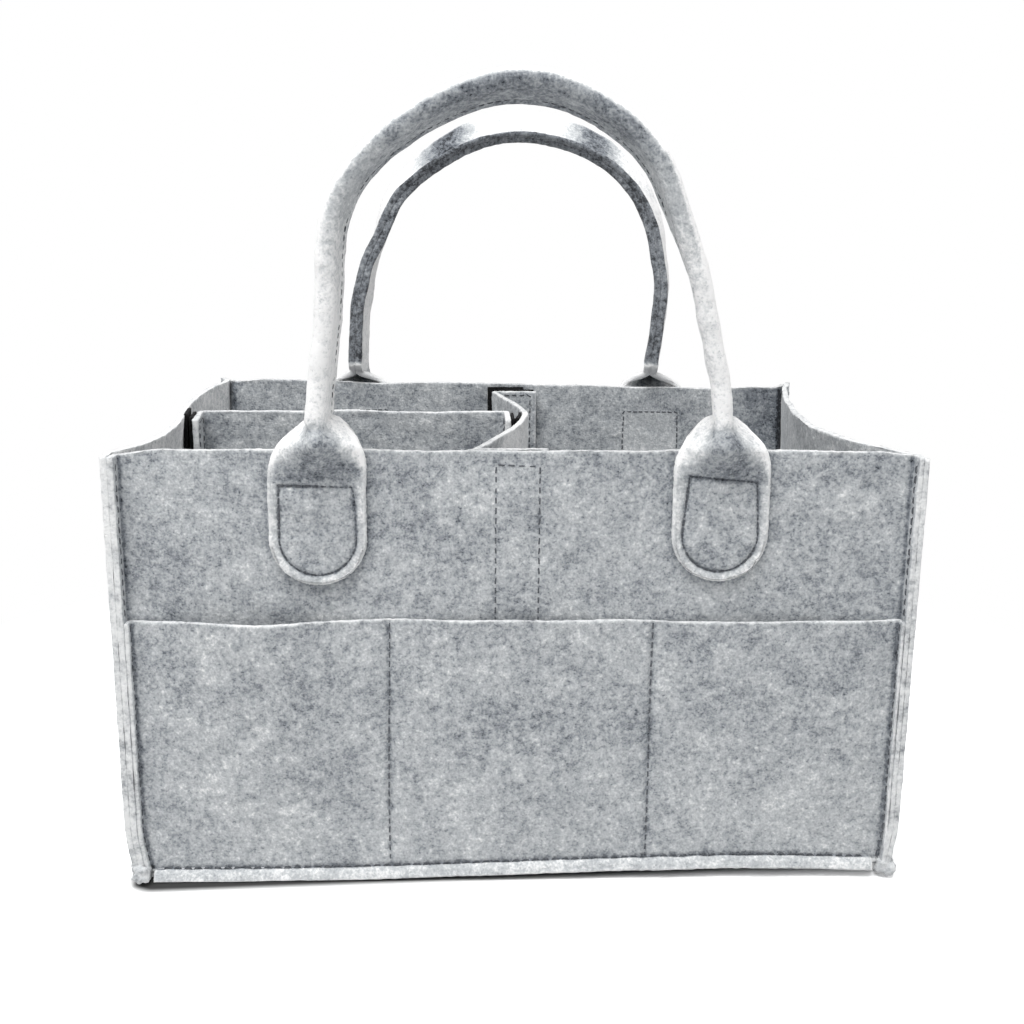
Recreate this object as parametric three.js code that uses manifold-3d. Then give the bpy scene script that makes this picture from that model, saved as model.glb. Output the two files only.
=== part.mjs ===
// Felt caddy bag: four sewn walls, pockets, two loose dividers and two folded carry handles.
// Millimetres, +Z up. The origin is on the floor under the middle of the bag, the front faces -Y.
import * as THREE from "three";
import { mergeVertices } from "three/addons/utils/BufferGeometryUtils.js";
import Module from "manifold-3d";

// Materials' thicknesses and the clearance that separate layers keep
const FELT = 2.8;
const POCKET_FELT = 2;
const TAPE = 1.6;
const GAP = 0.3;
const MERGE_WITHIN = 1e-4;

// The box: half of the width over the side panels, outer faces of the front and back, and the rim
const HALF_WIDTH = 165;
const FACE_Y = 110;
const RIM_Z = 183;
const CORNER_MARGIN = 6.4;
const BOTTOM_MARGIN = 4.4;

// Inward bow of the side panels at the rim: how deep, between which y, and how far forward it peaks
const BOW_POWER = 1.2;
const BOW_END = 4;
const RIGHT_BOW = { depth: 25, from: -FACE_Y + BOW_END, to: FACE_Y - BOW_END, skew: 0.8 };
const LEFT_BOW = { depth: 10.5, from: -FACE_Y + BOW_END, to: 8, skew: 0.7 };
const SIDE_STEPS = 20;
const SIDE_LEVELS = 6;

// Pockets: top edge, dividing seams, and how far each one gapes at its top
const POCKET_TOP_Z = 115;
const POCKET_SEAMS = [-53, 56];
const POCKET_GAPES = [7, 5.6, 5.6];
const POCKET_STEPS = 8;
const POCKET_LEVELS = 6;
const POCKET_FLAT_Z = 12;

// Handle tabs: flat rounded ends of the straps, and the shoulder where they fold
const STRAP_WIDTH = 38.4;
const FOLD_RADIUS = 2.6;
const FULL_FOLD = THREE.MathUtils.degToRad(187);
const FOLD_STEPS = 6;
const TAB_BOTTOM_Z = 130;
const TAB_END_ANGLE = THREE.MathUtils.degToRad(14);
const TAB_END_STEPS = 6;
const SHOULDER_START = 1.6;
const SHOULDER_HEIGHT = 12.4;
const SHOULDER_STEPS = 7;

// Handles: each leg's distance from the middle, the arch and how square it is (2 for an ellipse),
// and the roll of the strap at its top
const NECK_REACH = 9.8;
const KNUCKLE_SIDES = 48;
const HANDLE_LEAN = THREE.MathUtils.degToRad(5);
const ARCH_STEPS = 24;
const LEG_STEPS = 4;
const FRONT_HANDLE = { legX: 79.7, archHalf: 72.5, legRise: 36, archRise: 79.6, square: 2, roll: 24 };
const BACK_HANDLE = { legX: 83, archHalf: 84, legRise: 18, archRise: 101, square: 2.6, roll: 50 };

// Dividers: top edge, the cross divider's ends and bow, and the long divider's place
const DIVIDER_TOP_Z = 181;
const CROSS_FRONT_X = -24;
const CROSS_BACK_X = -5;
const CROSS_BOW = 20;
const CROSS_STEPS = 18;
const LONG_Y = 20;
const CROSS_FRONT_FLAP = 36;
const CROSS_BACK_FLAP = 24;
const LONG_FLAP = 27;
const FLAP_END_STEPS = 6;
const FLAP_ROOM = 20;
const CROSS_FRONT_PEEL = THREE.MathUtils.degToRad(34);
const CROSS_BACK_PEEL = THREE.MathUtils.degToRad(42);
const LONG_PEEL = THREE.MathUtils.degToRad(50);

// Hook-and-loop tapes
const TAPE_WIDTH = 20;
const TAPE_LENGTH = 97;
const TAPE_TOP_DROP = 1.4;
const TAPE_STEPS = 5;
const TAPE_MIDDLE_X = -0.5;
const TAPE_FROM_FOLD = 4.5;
const CURVED_GAP = 0.6;
const FRONT_TAPE_SHIFT = 0;
const BACK_TAPE_SHIFT = 6;

// Sewing threads: width and height of a run, and how far the seams lie from the edges
const THREAD = 0.9;
const THREAD_RISE = 0.6;
const TAB_SEAM_INSET = 4.4;
const TAB_SEAM_TOP_Z = 171;
const TAB_SEAM_STEPS = 16;
const TAPE_SEAM_INSET = 1.2;
const TAPE_SEAM_DROP = 4.2;
const CORNER_SEAM = 1.6;
const STRAP_SEAM_INSET = 4;
const SEAM_END = 2;

const FELT_COLOR = "#a9adb1";
const THREAD_COLOR = "#4b4f55";
const TAPE_COLOR = "#1d1d1f";

// Places worked out from the sizes above
const FLOOR_Z = FELT + GAP;
const MARGIN_TOP_Z = FLOOR_Z + FELT;
const MARGIN_Y = FACE_Y + CORNER_MARGIN;
const BOTTOM_Y = FACE_Y + BOTTOM_MARGIN;
const INNER_Y = FACE_Y - FELT;
const PANEL_HALF = HALF_WIDTH - FELT - GAP;
const POCKET_HALF = PANEL_HALF - FELT - GAP;
const POCKET_Y = FACE_Y + GAP + POCKET_FELT;
const TAB_Y = FACE_Y + GAP + FELT;
const NECK_Z = RIM_Z + SHOULDER_START + SHOULDER_HEIGHT;
const HINGE_Z = NECK_Z + GAP + NECK_REACH;
const FLAP_Y = INNER_Y - 2 * TAPE - 3 * GAP - FELT / 2;
const TAPE_TOP_Z = RIM_Z - TAPE_TOP_DROP;
const CROSS_HALF = FLAP_Y;

const wasm = await Module();
wasm.setup();

// Turns a closed geometry into a solid that can be joined and cut.
function solidOf(geometry) {
  const bare = geometry.clone();
  bare.deleteAttribute("normal");
  bare.deleteAttribute("uv");
  const merged = mergeVertices(bare, MERGE_WITHIN);
  return new wasm.Manifold(
    new wasm.Mesh({
      numProp: 3,
      vertProperties: merged.attributes.position.array,
      triVerts: new Uint32Array(merged.index.array),
    }),
  );
}

// Turns a solid back into a geometry.
function geometryOf(solid) {
  const mesh = solid.getMesh();
  const geometry = new THREE.BufferGeometry();
  geometry.setAttribute("position", new THREE.BufferAttribute(mesh.vertProperties, 3));
  geometry.setIndex(new THREE.BufferAttribute(mesh.triVerts, 1));
  return geometry;
}

// Joins closed geometries that overlap into one.
function joined(...geometries) {
  const solids = geometries.map(solidOf);
  return geometryOf(solids.reduce((whole, solid) => whole.add(solid)));
}

// Cuts closed geometries out of another.
function cut(geometry, ...cutters) {
  return geometryOf(cutters.reduce((left, cutter) => left.subtract(solidOf(cutter)), solidOf(geometry)));
}

// A box between two corners, given as x, y and z ranges.
function block([x0, x1], [y0, y1], [z0, z1]) {
  const size = [Math.abs(x1 - x0), Math.abs(y1 - y0), Math.abs(z1 - z0)];
  return new THREE.BoxGeometry(...size).translate((x0 + x1) / 2, (y0 + y1) / 2, (z0 + z1) / 2);
}

// Six times the volume that a triangle spans with the origin.
function spanned(positions, a, b, c) {
  const [p, q, r] = [a, b, c].map((n) => new THREE.Vector3().fromArray(positions, 3 * n));
  return p.dot(q.cross(r));
}

// A closed sheet between two grids of points of the same size.
function sheetBetween(outer, inner) {
  const rows = outer.length;
  const columns = outer[0].length;
  const positions = [outer, inner].flat(2).flatMap((point) => point.toArray());
  const at = (side, i, j) => (side * rows + i) * columns + j;
  const faces = [];
  const quad = (a, b, c, d) => faces.push([a, b, c], [a, c, d]);
  for (let i = 0; i < rows - 1; i++) {
    for (let j = 0; j < columns - 1; j++) {
      quad(at(0, i, j), at(0, i + 1, j), at(0, i + 1, j + 1), at(0, i, j + 1));
      quad(at(1, i, j), at(1, i, j + 1), at(1, i + 1, j + 1), at(1, i + 1, j));
    }
    const last = columns - 1;
    quad(at(0, i, 0), at(1, i, 0), at(1, i + 1, 0), at(0, i + 1, 0));
    quad(at(0, i, last), at(0, i + 1, last), at(1, i + 1, last), at(1, i, last));
  }
  for (let j = 0; j < columns - 1; j++) {
    const last = rows - 1;
    quad(at(0, 0, j), at(0, 0, j + 1), at(1, 0, j + 1), at(1, 0, j));
    quad(at(0, last, j), at(1, last, j), at(1, last, j + 1), at(0, last, j + 1));
  }
  const volume = faces.reduce((sum, face) => sum + spanned(positions, ...face), 0);
  const index = faces.flatMap(([a, b, c]) => (volume > 0 ? [a, b, c] : [a, c, b]));
  const geometry = new THREE.BufferGeometry();
  geometry.setAttribute("position", new THREE.Float32BufferAttribute(positions, 3));
  geometry.setIndex(index);
  return geometry;
}

// Points of a line in plan moved sideways, with mitred corners.
function offsetLine(points, distance) {
  const normals = points.slice(1).map((point, n) => {
    const along = point.clone().sub(points[n]).normalize();
    return new THREE.Vector2(-along.y, along.x);
  });
  return points.map((point, n) => {
    const before = normals[Math.max(n - 1, 0)];
    const after = normals[Math.min(n, normals.length - 1)];
    const mitre = before.clone().add(after).normalize();
    return point.clone().addScaledVector(mitre, distance / mitre.dot(after));
  });
}

// A standing sheet whose middle line in plan is lineAt(z), between the given heights.
function standingSheet(lineAt, heights, thickness) {
  const side = (distance) => {
    const lines = heights.map((z) => offsetLine(lineAt(z), distance));
    return lines[0].map((_, n) =>
      lines.map((line, level) => new THREE.Vector3(line[n].x, line[n].y, heights[level])),
    );
  };
  return sheetBetween(side(thickness / 2), side(-thickness / 2));
}

// Evenly spaced values from one end to the other.
function steps(from, to, count) {
  return Array.from({ length: count + 1 }, (_, n) => THREE.MathUtils.lerp(from, to, n / count));
}

// How far a side panel bows inwards at a place along y and a height.
function bowAt({ depth, from, to, skew }, y, z) {
  const along = THREE.MathUtils.clamp((y - from) / (to - from), 0, 1);
  const height = THREE.MathUtils.clamp((z - MARGIN_TOP_Z) / (RIM_Z - MARGIN_TOP_Z), 0, 1);
  return depth * Math.sin(Math.PI * along ** skew) * height ** BOW_POWER;
}

// A side panel: side is 1 at the right and -1 at the left, with its bottom margin bent outwards.
function sidePanel(side, bow) {
  const places = [-MARGIN_Y, ...steps(-INNER_Y, INNER_Y, SIDE_STEPS), MARGIN_Y];
  const lineAt = (z) =>
    places.map((y) => new THREE.Vector2(side * (HALF_WIDTH - FELT / 2 - bowAt(bow, y, z)), y));
  const heights = [FLOOR_Z, MARGIN_TOP_Z, ...steps(MARGIN_TOP_Z, RIM_Z, SIDE_LEVELS).slice(1)];
  const outer = side * (HALF_WIDTH + BOTTOM_MARGIN);
  const inner = side * (HALF_WIDTH - FELT);
  const margin = block([inner, outer], [-FACE_Y, FACE_Y], [FLOOR_Z, MARGIN_TOP_Z]);
  return joined(standingSheet(lineAt, heights, FELT), margin);
}

// The front or back panel: side is -1 at the front and 1 at the back, margins bent outwards.
function longPanel(side) {
  const edge = PANEL_HALF - FELT / 2;
  const middle = side * (FACE_Y - FELT / 2);
  const line = [
    [-edge, side * MARGIN_Y],
    [-edge, middle],
    [edge, middle],
    [edge, side * MARGIN_Y],
  ].map(([x, y]) => new THREE.Vector2(x, y));
  const wall = standingSheet(() => line, [FLOOR_Z, RIM_Z], FELT);
  const range = [side * INNER_Y, side * BOTTOM_Y];
  return joined(wall, block([-PANEL_HALF, PANEL_HALF], range, [FLOOR_Z, MARGIN_TOP_Z]));
}

// How far the pocket panel stands off the wall at a place between two seams.
function gapeAt(x, z) {
  const seams = [-POCKET_HALF, ...POCKET_SEAMS, POCKET_HALF];
  const pocket = POCKET_GAPES.findIndex((_, n) => x <= seams[n + 1]);
  const across = (x - seams[pocket]) / (seams[pocket + 1] - seams[pocket]);
  const up = THREE.MathUtils.smoothstep(z, POCKET_FLAT_Z, POCKET_TOP_Z);
  return POCKET_GAPES[pocket] * 4 * across * (1 - across) * Math.sqrt(up);
}

// A pocket panel over the front or back: its side and bottom margins lie on the wall's margins.
function pocketPanel(side) {
  const edge = POCKET_HALF - POCKET_FELT / 2;
  const middle = POCKET_Y - POCKET_FELT / 2;
  const stops = [-edge, ...POCKET_SEAMS, edge];
  const across = stops.slice(1).flatMap((stop, n) => steps(stops[n], stop, POCKET_STEPS).slice(1));
  const lineAt = (z) => [
    new THREE.Vector2(-edge, side * MARGIN_Y),
    ...[-edge, ...across].map((x) => new THREE.Vector2(x, side * (middle + gapeAt(x, z)))),
    new THREE.Vector2(edge, side * MARGIN_Y),
  ];
  const bottom = MARGIN_TOP_Z + GAP;
  const flat = bottom + POCKET_FELT;
  const heights = [bottom, flat, ...steps(POCKET_FLAT_Z, POCKET_TOP_Z, POCKET_LEVELS)];
  const range = [side * (POCKET_Y - POCKET_FELT), side * BOTTOM_Y];
  const margin = block([-POCKET_HALF, POCKET_HALF], range, [bottom, flat]);
  return joined(standingSheet(lineAt, heights, POCKET_FELT), margin);
}

// Section of a strip of felt folded by an angle: places across and deep, with their normals.
function foldedSection(width, fold) {
  const flank = (width - fold * FOLD_RADIUS) / 2;
  const turns = steps(-fold / 2, fold / 2, FOLD_STEPS);
  const arc = turns.map((turn) => ({
    place: new THREE.Vector2(FOLD_RADIUS * Math.sin(turn), FOLD_RADIUS * (1 - Math.cos(turn))),
    normal: new THREE.Vector2(Math.sin(turn), -Math.cos(turn)),
  }));
  const ends = [arc[0], arc[FOLD_STEPS]].map(({ place, normal }, n) => ({
    place: place.clone().add(new THREE.Vector2(-normal.y, normal.x).multiplyScalar(n ? flank : -flank)),
    normal,
  }));
  const points = [ends[0], ...arc, ends[1]];
  const deepest = ends[0].place.y;
  points.forEach(({ place }) => (place.y -= deepest / 2));
  return points;
}

const STRAP_SECTION = foldedSection(STRAP_WIDTH, FULL_FOLD);
const STRAP_HALF_DEPTH = STRAP_SECTION[0].place.y;

// A strip through stations, each with its centre, its axes, its width and how far it is folded.
function foldedStrip(stations) {
  const side = (distance) => {
    const columns = stations.map(({ centre, across, deep, width, fold }) =>
      foldedSection(width, fold).map(({ place, normal }) => {
        const point = place.clone().addScaledVector(normal, distance);
        return centre.clone().addScaledVector(across, point.x).addScaledVector(deep, point.y);
      }),
    );
    return columns[0].map((_, n) => columns.map((column) => column[n]));
  };
  return sheetBetween(side(FELT / 2), side(-FELT / 2));
}

// A handle tab, flat on the wall with a rounded end, folding together above the rim.
function handleTab(side, x) {
  const across = new THREE.Vector3(1, 0, 0);
  const deep = new THREE.Vector3(0, -side, 0);
  const radius = STRAP_WIDTH / 2;
  const flatY = TAB_Y - FELT / 2;
  const rounded = steps(TAB_END_ANGLE, Math.PI / 2, TAB_END_STEPS).map((angle) => ({
    z: TAB_BOTTOM_Z + radius * (1 - Math.cos(angle)),
    width: STRAP_WIDTH * Math.sin(angle),
    fold: 0,
  }));
  const shoulder = steps(0, 1, SHOULDER_STEPS).map((share) => ({
    z: RIM_Z + SHOULDER_START + SHOULDER_HEIGHT * share,
    width: STRAP_WIDTH,
    fold: FULL_FOLD * THREE.MathUtils.smootherstep(share, 0, 1),
  }));
  return foldedStrip(
    [...rounded, ...shoulder].map(({ z, width, fold }) => {
      const y = THREE.MathUtils.lerp(flatY, FACE_Y, fold / FULL_FOLD);
      return { centre: new THREE.Vector3(x, side * y, z), across, deep, width, fold };
    }),
  );
}

// The places of a handle's middle line, in its own plane from the hinge line up.
function archPlaces({ legX, archHalf, legRise, archRise, square }) {
  const squared = (value) => Math.sign(value) * Math.abs(value) ** (2 / square);
  const leg = [-NECK_REACH, ...steps(0, legRise, LEG_STEPS)].map((z) => {
    const lean = THREE.MathUtils.smoothstep(z, 0, legRise);
    return new THREE.Vector2(-THREE.MathUtils.lerp(legX, archHalf, lean), z);
  });
  const arch = steps(Math.PI, 0, ARCH_STEPS)
    .slice(1, -1)
    .map((angle) => [squared(Math.cos(angle)), squared(Math.sin(angle))])
    .map(([x, z]) => new THREE.Vector2(archHalf * x, legRise + archRise * z));
  const far = leg.map(({ x, y }) => new THREE.Vector2(-x, y)).reverse();
  return [...leg, ...arch, ...far];
}

// Stations along a handle: the raw edges face the bag on the legs and roll under at the top.
function handleStations(side, handle) {
  const places = archPlaces(handle);
  return places.map((place, n) => {
    const before = places[Math.max(n - 1, 0)];
    const after = places[Math.min(n + 1, places.length - 1)];
    const level = place.y <= 0 ? new THREE.Vector2(0, Math.sign(-place.x)) : after.clone().sub(before);
    const along = new THREE.Vector3(level.x, 0, level.y).normalize();
    const under = new THREE.Vector3(along.z, 0, -along.x);
    const raised = THREE.MathUtils.clamp((place.y - handle.legRise) / handle.archRise, 0, 1);
    const roll = THREE.MathUtils.degToRad(handle.roll) * Math.sqrt(raised) * raised;
    const deep = new THREE.Vector3(0, -side * Math.cos(roll), 0).addScaledVector(under, Math.sin(roll));
    const across = deep.clone().cross(along).multiplyScalar(side);
    return {
      centre: new THREE.Vector3(place.x, 0, place.y),
      across,
      deep,
      width: STRAP_WIDTH,
      fold: FULL_FOLD,
    };
  });
}

// A handle strap whose lower ends are round about the line it swings on.
function handleStrap(side, handle) {
  const reach = handle.legX + STRAP_WIDTH;
  const below = 2 * NECK_REACH;
  const knuckle = new THREE.CylinderGeometry(NECK_REACH, NECK_REACH, 2 * reach, KNUCKLE_SIDES);
  knuckle.rotateZ(Math.PI / 2);
  const under = cut(block([-reach, reach], [-below, below], [-below, 0]), knuckle);
  return cut(foldedStrip(handleStations(side, handle)), under);
}

// The seam along a handle, on the face that looks into the arch.
function handleSeam(side, handle) {
  const deepAt = STRAP_HALF_DEPTH - STRAP_SEAM_INSET;
  const share = deepAt / STRAP_HALF_DEPTH;
  const flank = STRAP_SECTION[STRAP_SECTION.length - 1];
  const bend = STRAP_SECTION[STRAP_SECTION.length - 2];
  const blend = (deepAt - bend.place.y) / (flank.place.y - bend.place.y);
  const face = THREE.MathUtils.lerp(bend.place.x, flank.place.x, blend) + FELT / 2 + CURVED_GAP;
  const stations = handleStations(side, handle).filter(({ centre }) => centre.z >= 0);
  const corner = (lift, shift) =>
    stations.map(({ centre, across, deep }) => {
      const inward = across.clone().multiplyScalar(Math.sign(across.x * -centre.x - across.z) || 1);
      return centre
        .clone()
        .addScaledVector(inward, face + lift)
        .addScaledVector(deep, share * STRAP_HALF_DEPTH + shift);
    });
  const outer = [corner(THREAD_RISE, -THREAD / 2), corner(THREAD_RISE, THREAD / 2)];
  const inner = [corner(0, -THREAD / 2), corner(0, THREAD / 2)];
  return sheetBetween(outer, inner);
}

// The cross divider's middle line in plan: a chord from front to back with a bow to the right.
function crossX(y) {
  const share = (y + CROSS_HALF) / (2 * CROSS_HALF);
  return THREE.MathUtils.lerp(CROSS_FRONT_X, CROSS_BACK_X, share) + CROSS_BOW * Math.sin(Math.PI * share);
}

// How far short of its fold line the cross divider stops, so that its slanted end clears the flap.
function crossEndClear(side) {
  const end = side * CROSS_HALF;
  const slope = (crossX(end) - crossX(end - side)) * side;
  return FELT / 2 + GAP + (FELT / 2) * Math.abs(Math.sin(Math.atan(slope)));
}

// A loose divider's panel along a line in plan.
function dividerPanel(line) {
  return standingSheet(() => line, [FLOOR_Z, DIVIDER_TOP_Z], FELT);
}

// The room that a flap swings open through, which a divider's end leaves free. The flap points
// along an angle in plan at rest and opens by the peel, counterclockwise if way is 1.
function flapRoom([x, y], restAngle, way, peel) {
  const clear = FELT / 2 + GAP;
  const across = way > 0 ? [-FLAP_ROOM, clear] : [-clear, FLAP_ROOM];
  const room = block([0, FLAP_ROOM], across, [0, RIM_Z]);
  return room.rotateZ(restAngle + way * peel).translate(x, y, 0);
}

// A flap with a round end on the fold line.
function flapShape(length) {
  const half = FELT / 2;
  const round = steps(Math.PI / 2, (3 * Math.PI) / 2, FLAP_END_STEPS).map(
    (angle) => new THREE.Vector2(half * Math.cos(angle), half * Math.sin(angle)),
  );
  const outline = [...round, new THREE.Vector2(length, -half), new THREE.Vector2(length, half)];
  const options = { depth: DIVIDER_TOP_Z - FLOOR_Z, bevelEnabled: false };
  return new THREE.ExtrudeGeometry(new THREE.Shape(outline), options).translate(0, 0, FLOOR_Z);
}

// A flat tape beside a flap: from its fold line outwards, on its outer face.
function flapTape(face) {
  const near = face * (FELT / 2 + GAP);
  const across = [TAPE_FROM_FOLD, TAPE_FROM_FOLD + TAPE_WIDTH];
  return block(across, [near, near + face * TAPE], [TAPE_TOP_Z - TAPE_LENGTH, TAPE_TOP_Z - GAP]);
}

// A thread run round a closed or open outline, standing on a wall that faces along y.
function outlineSeam(outline, side, faceY) {
  const shape = new THREE.Shape(outline.map(([x, z]) => new THREE.Vector2(x, z)));
  const seam = new THREE.ExtrudeGeometry(shape, { depth: THREAD_RISE, bevelEnabled: false });
  seam.rotateX(Math.PI / 2);
  return seam.translate(0, side > 0 ? faceY + GAP + THREAD_RISE : -faceY - GAP, 0);
}

// The seam that holds a tab: straight across its top and round its end, as one closed ring.
function tabSeam(side, x) {
  const ring = (inset) => {
    const radius = STRAP_WIDTH / 2 - TAB_SEAM_INSET - inset;
    const middle = TAB_BOTTOM_Z + STRAP_WIDTH / 2;
    const bend = steps(Math.PI, 2 * Math.PI, TAB_SEAM_STEPS).map(
      (angle) => new THREE.Vector2(x + radius * Math.cos(angle), middle + radius * Math.sin(angle)),
    );
    const top = TAB_SEAM_TOP_Z - inset;
    return [...bend, new THREE.Vector2(x + radius, top), new THREE.Vector2(x - radius, top)];
  };
  const shape = new THREE.Shape(ring(0));
  shape.holes.push(new THREE.Path(ring(THREAD)));
  const seam = new THREE.ExtrudeGeometry(shape, { depth: THREAD_RISE, bevelEnabled: false });
  seam.rotateX(Math.PI / 2);
  return seam.translate(0, side > 0 ? TAB_Y + GAP + THREAD_RISE : -TAB_Y - GAP, 0);
}

// The seam of a wall tape: over its top and down both edges to the pocket.
function tapeSeam(side) {
  const half = TAPE_WIDTH / 2 - TAPE_SEAM_INSET;
  const top = TAPE_TOP_Z - TAPE_SEAM_DROP + TAPE_TOP_DROP;
  const bottom = POCKET_TOP_Z + GAP;
  const outline = [
    [-half, bottom],
    [-half, top],
    [half, top],
    [half, bottom],
    [half - THREAD, bottom],
    [half - THREAD, top - THREAD],
    [-half + THREAD, top - THREAD],
    [-half + THREAD, bottom],
  ].map(([x, z]) => [x + TAPE_MIDDLE_X, z]);
  return outlineSeam(outline, side, FACE_Y);
}

// A pocket's dividing seam on the pocket panel.
function pocketSeam(side, x) {
  const low = MARGIN_TOP_Z + POCKET_FELT + THREAD_RISE + 3 * GAP;
  const range = [side * (POCKET_Y + GAP), side * (POCKET_Y + GAP + THREAD_RISE)];
  return block([x - THREAD / 2, x + THREAD / 2], range, [low, POCKET_TOP_Z]);
}

// A corner seam in the valley beside the standing margins, stepping in over the pocket's margin.
function cornerSeam(sideX, sideY) {
  const run = (face, z0, z1) => {
    const xs = [sideX * (face - GAP), sideX * (face - GAP - THREAD_RISE)];
    const near = POCKET_Y + CORNER_SEAM;
    return block(xs, [sideY * near, sideY * (near + THREAD)], [z0, z1]);
  };
  const upper = PANEL_HALF - FELT;
  const lower = POCKET_HALF - POCKET_FELT;
  const low = MARGIN_TOP_Z + 2 * GAP + POCKET_FELT + THREAD_RISE;
  const turn = POCKET_TOP_Z + GAP;
  const near = POCKET_Y + CORNER_SEAM;
  const step = block(
    [sideX * (lower - GAP - THREAD_RISE), sideX * (upper - GAP)],
    [sideY * near, sideY * (near + THREAD)],
    [turn, turn + THREAD],
  );
  return joined(run(lower, low, turn + THREAD), step, run(upper, turn, RIM_Z - SEAM_END));
}

// The bottom seams: on the pockets' margins at the front and back, on the panels' at the sides.
function longBottomSeam(side) {
  const low = MARGIN_TOP_Z + GAP + POCKET_FELT + GAP;
  const near = POCKET_Y + GAP;
  const reach = POCKET_HALF - POCKET_FELT - SEAM_END;
  return block([-reach, reach], [side * near, side * (near + THREAD)], [low, low + THREAD_RISE]);
}

function sideBottomSeam(side) {
  const near = HALF_WIDTH + GAP;
  const low = MARGIN_TOP_Z + GAP;
  const reach = FACE_Y - SEAM_END;
  return block([side * near, side * (near + THREAD)], [-reach, reach], [low, low + THREAD_RISE]);
}

// The part and the helper that adds one named piece to a group
const part = new THREE.Group();

function add(name, geometry, color, group = part) {
  const material = new THREE.MeshStandardMaterial({ color, roughness: 0.95, metalness: 0 });
  const mesh = new THREE.Mesh(geometry, material);
  mesh.name = name;
  group.add(mesh);
  return mesh;
}

function groupAt(x, y, z) {
  const group = new THREE.Group();
  group.position.set(x, y, z);
  part.add(group);
  return group;
}

// Walls and bottom
add("front_panel", longPanel(-1), FELT_COLOR);
add("back_panel", longPanel(1), FELT_COLOR);
add("left_side_panel", sidePanel(-1, LEFT_BOW), FELT_COLOR);
add("right_side_panel", sidePanel(1, RIGHT_BOW), FELT_COLOR);
const bottomHalf = HALF_WIDTH + BOTTOM_MARGIN;
add("bottom_panel", block([-bottomHalf, bottomHalf], [-BOTTOM_Y, BOTTOM_Y], [0, FELT]), FELT_COLOR);

// Pockets with their seams, handles with their tabs, and the seams of the wall tapes
for (const [end, side, handle] of [
  ["front", -1, FRONT_HANDLE],
  ["back", 1, BACK_HANDLE],
]) {
  add(`${end}_pocket`, pocketPanel(side), FELT_COLOR);
  add(`${end}_tape_seam`, tapeSeam(side), THREAD_COLOR);
  add(`${end}_bottom_seam`, longBottomSeam(side), THREAD_COLOR);
  const hung = groupAt(0, side * FACE_Y, HINGE_Z);
  hung.rotation.x = -side * HANDLE_LEAN;
  add(`${end}_handle_strap`, handleStrap(side, handle), FELT_COLOR, hung);
  add(`${end}_handle_seam`, handleSeam(side, handle), THREAD_COLOR, hung);
  for (const [hand, way] of [
    ["left", -1],
    ["right", 1],
  ]) {
    add(`${end}_${hand}_tab`, handleTab(side, way * handle.legX), FELT_COLOR);
    add(`${end}_${hand}_tab_seam`, tabSeam(side, way * handle.legX), THREAD_COLOR);
    add(`${end}_${hand}_corner_seam`, cornerSeam(way, side), THREAD_COLOR);
    const seamX = POCKET_SEAMS[way < 0 ? 0 : 1];
    add(`${end}_${hand}_pocket_seam`, pocketSeam(side, seamX), THREAD_COLOR);
  }
}
add("left_bottom_seam", sideBottomSeam(-1), THREAD_COLOR);
add("right_bottom_seam", sideBottomSeam(1), THREAD_COLOR);

// Wall tapes at the front and back, and one that follows the left side panel
const tapeHeights = [TAPE_TOP_Z - TAPE_LENGTH, TAPE_TOP_Z];
const tapeRange = [TAPE_MIDDLE_X - TAPE_WIDTH / 2, TAPE_MIDDLE_X + TAPE_WIDTH / 2];
for (const [end, side] of [
  ["front", -1],
  ["back", 1],
]) {
  const near = INNER_Y - GAP;
  add(`${end}_wall_tape`, block(tapeRange, [side * (near - TAPE), side * near], tapeHeights), TAPE_COLOR);
}
const longTapeY = steps(LONG_Y - TAPE_FROM_FOLD - TAPE_WIDTH, LONG_Y - TAPE_FROM_FOLD, TAPE_STEPS);
const leftInset = FELT + CURVED_GAP + TAPE / 2;
const leftTapeAt = (z) =>
  longTapeY.map((y) => new THREE.Vector2(-HALF_WIDTH + leftInset + bowAt(LEFT_BOW, y, z), y));
const leftTapeHeights = steps(...tapeHeights, TAPE_STEPS);
add("left_wall_tape", standingSheet(leftTapeAt, leftTapeHeights, TAPE), TAPE_COLOR);

// The cross divider with the tape on its left face, and its two flaps
const foldClear = FELT / 2 + GAP;
const crossLine = steps(-CROSS_HALF + crossEndClear(-1), CROSS_HALF - crossEndClear(1), CROSS_STEPS).map(
  (y) => new THREE.Vector2(crossX(y), y),
);
const crossPanel = cut(
  dividerPanel(crossLine),
  flapRoom([CROSS_FRONT_X, -FLAP_Y], 0, 1, CROSS_FRONT_PEEL),
  flapRoom([CROSS_BACK_X, FLAP_Y], 0, -1, CROSS_BACK_PEEL),
);
add("cross_divider", crossPanel, FELT_COLOR);
const faceInset = FELT / 2 + GAP + TAPE / 2;
const crossTapeLine = offsetLine(
  longTapeY.map((y) => new THREE.Vector2(crossX(y), y)),
  faceInset,
);
add("cross_divider_tape", standingSheet(() => crossTapeLine, tapeHeights, TAPE), TAPE_COLOR);
for (const [end, side, x, length, tapeShift] of [
  ["front", -1, CROSS_FRONT_X, CROSS_FRONT_FLAP, FRONT_TAPE_SHIFT],
  ["back", 1, CROSS_BACK_X, CROSS_BACK_FLAP, BACK_TAPE_SHIFT],
]) {
  const fold = groupAt(x, side * FLAP_Y, 0);
  add(`cross_${end}_flap`, flapShape(length), FELT_COLOR, fold);
  const shift = TAPE_MIDDLE_X + tapeShift - x - TAPE_FROM_FOLD - TAPE_WIDTH / 2;
  const tape = flapTape(side).translate(shift, 0, 0);
  add(`cross_${end}_flap_tape`, tape, TAPE_COLOR, fold);
}

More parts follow.
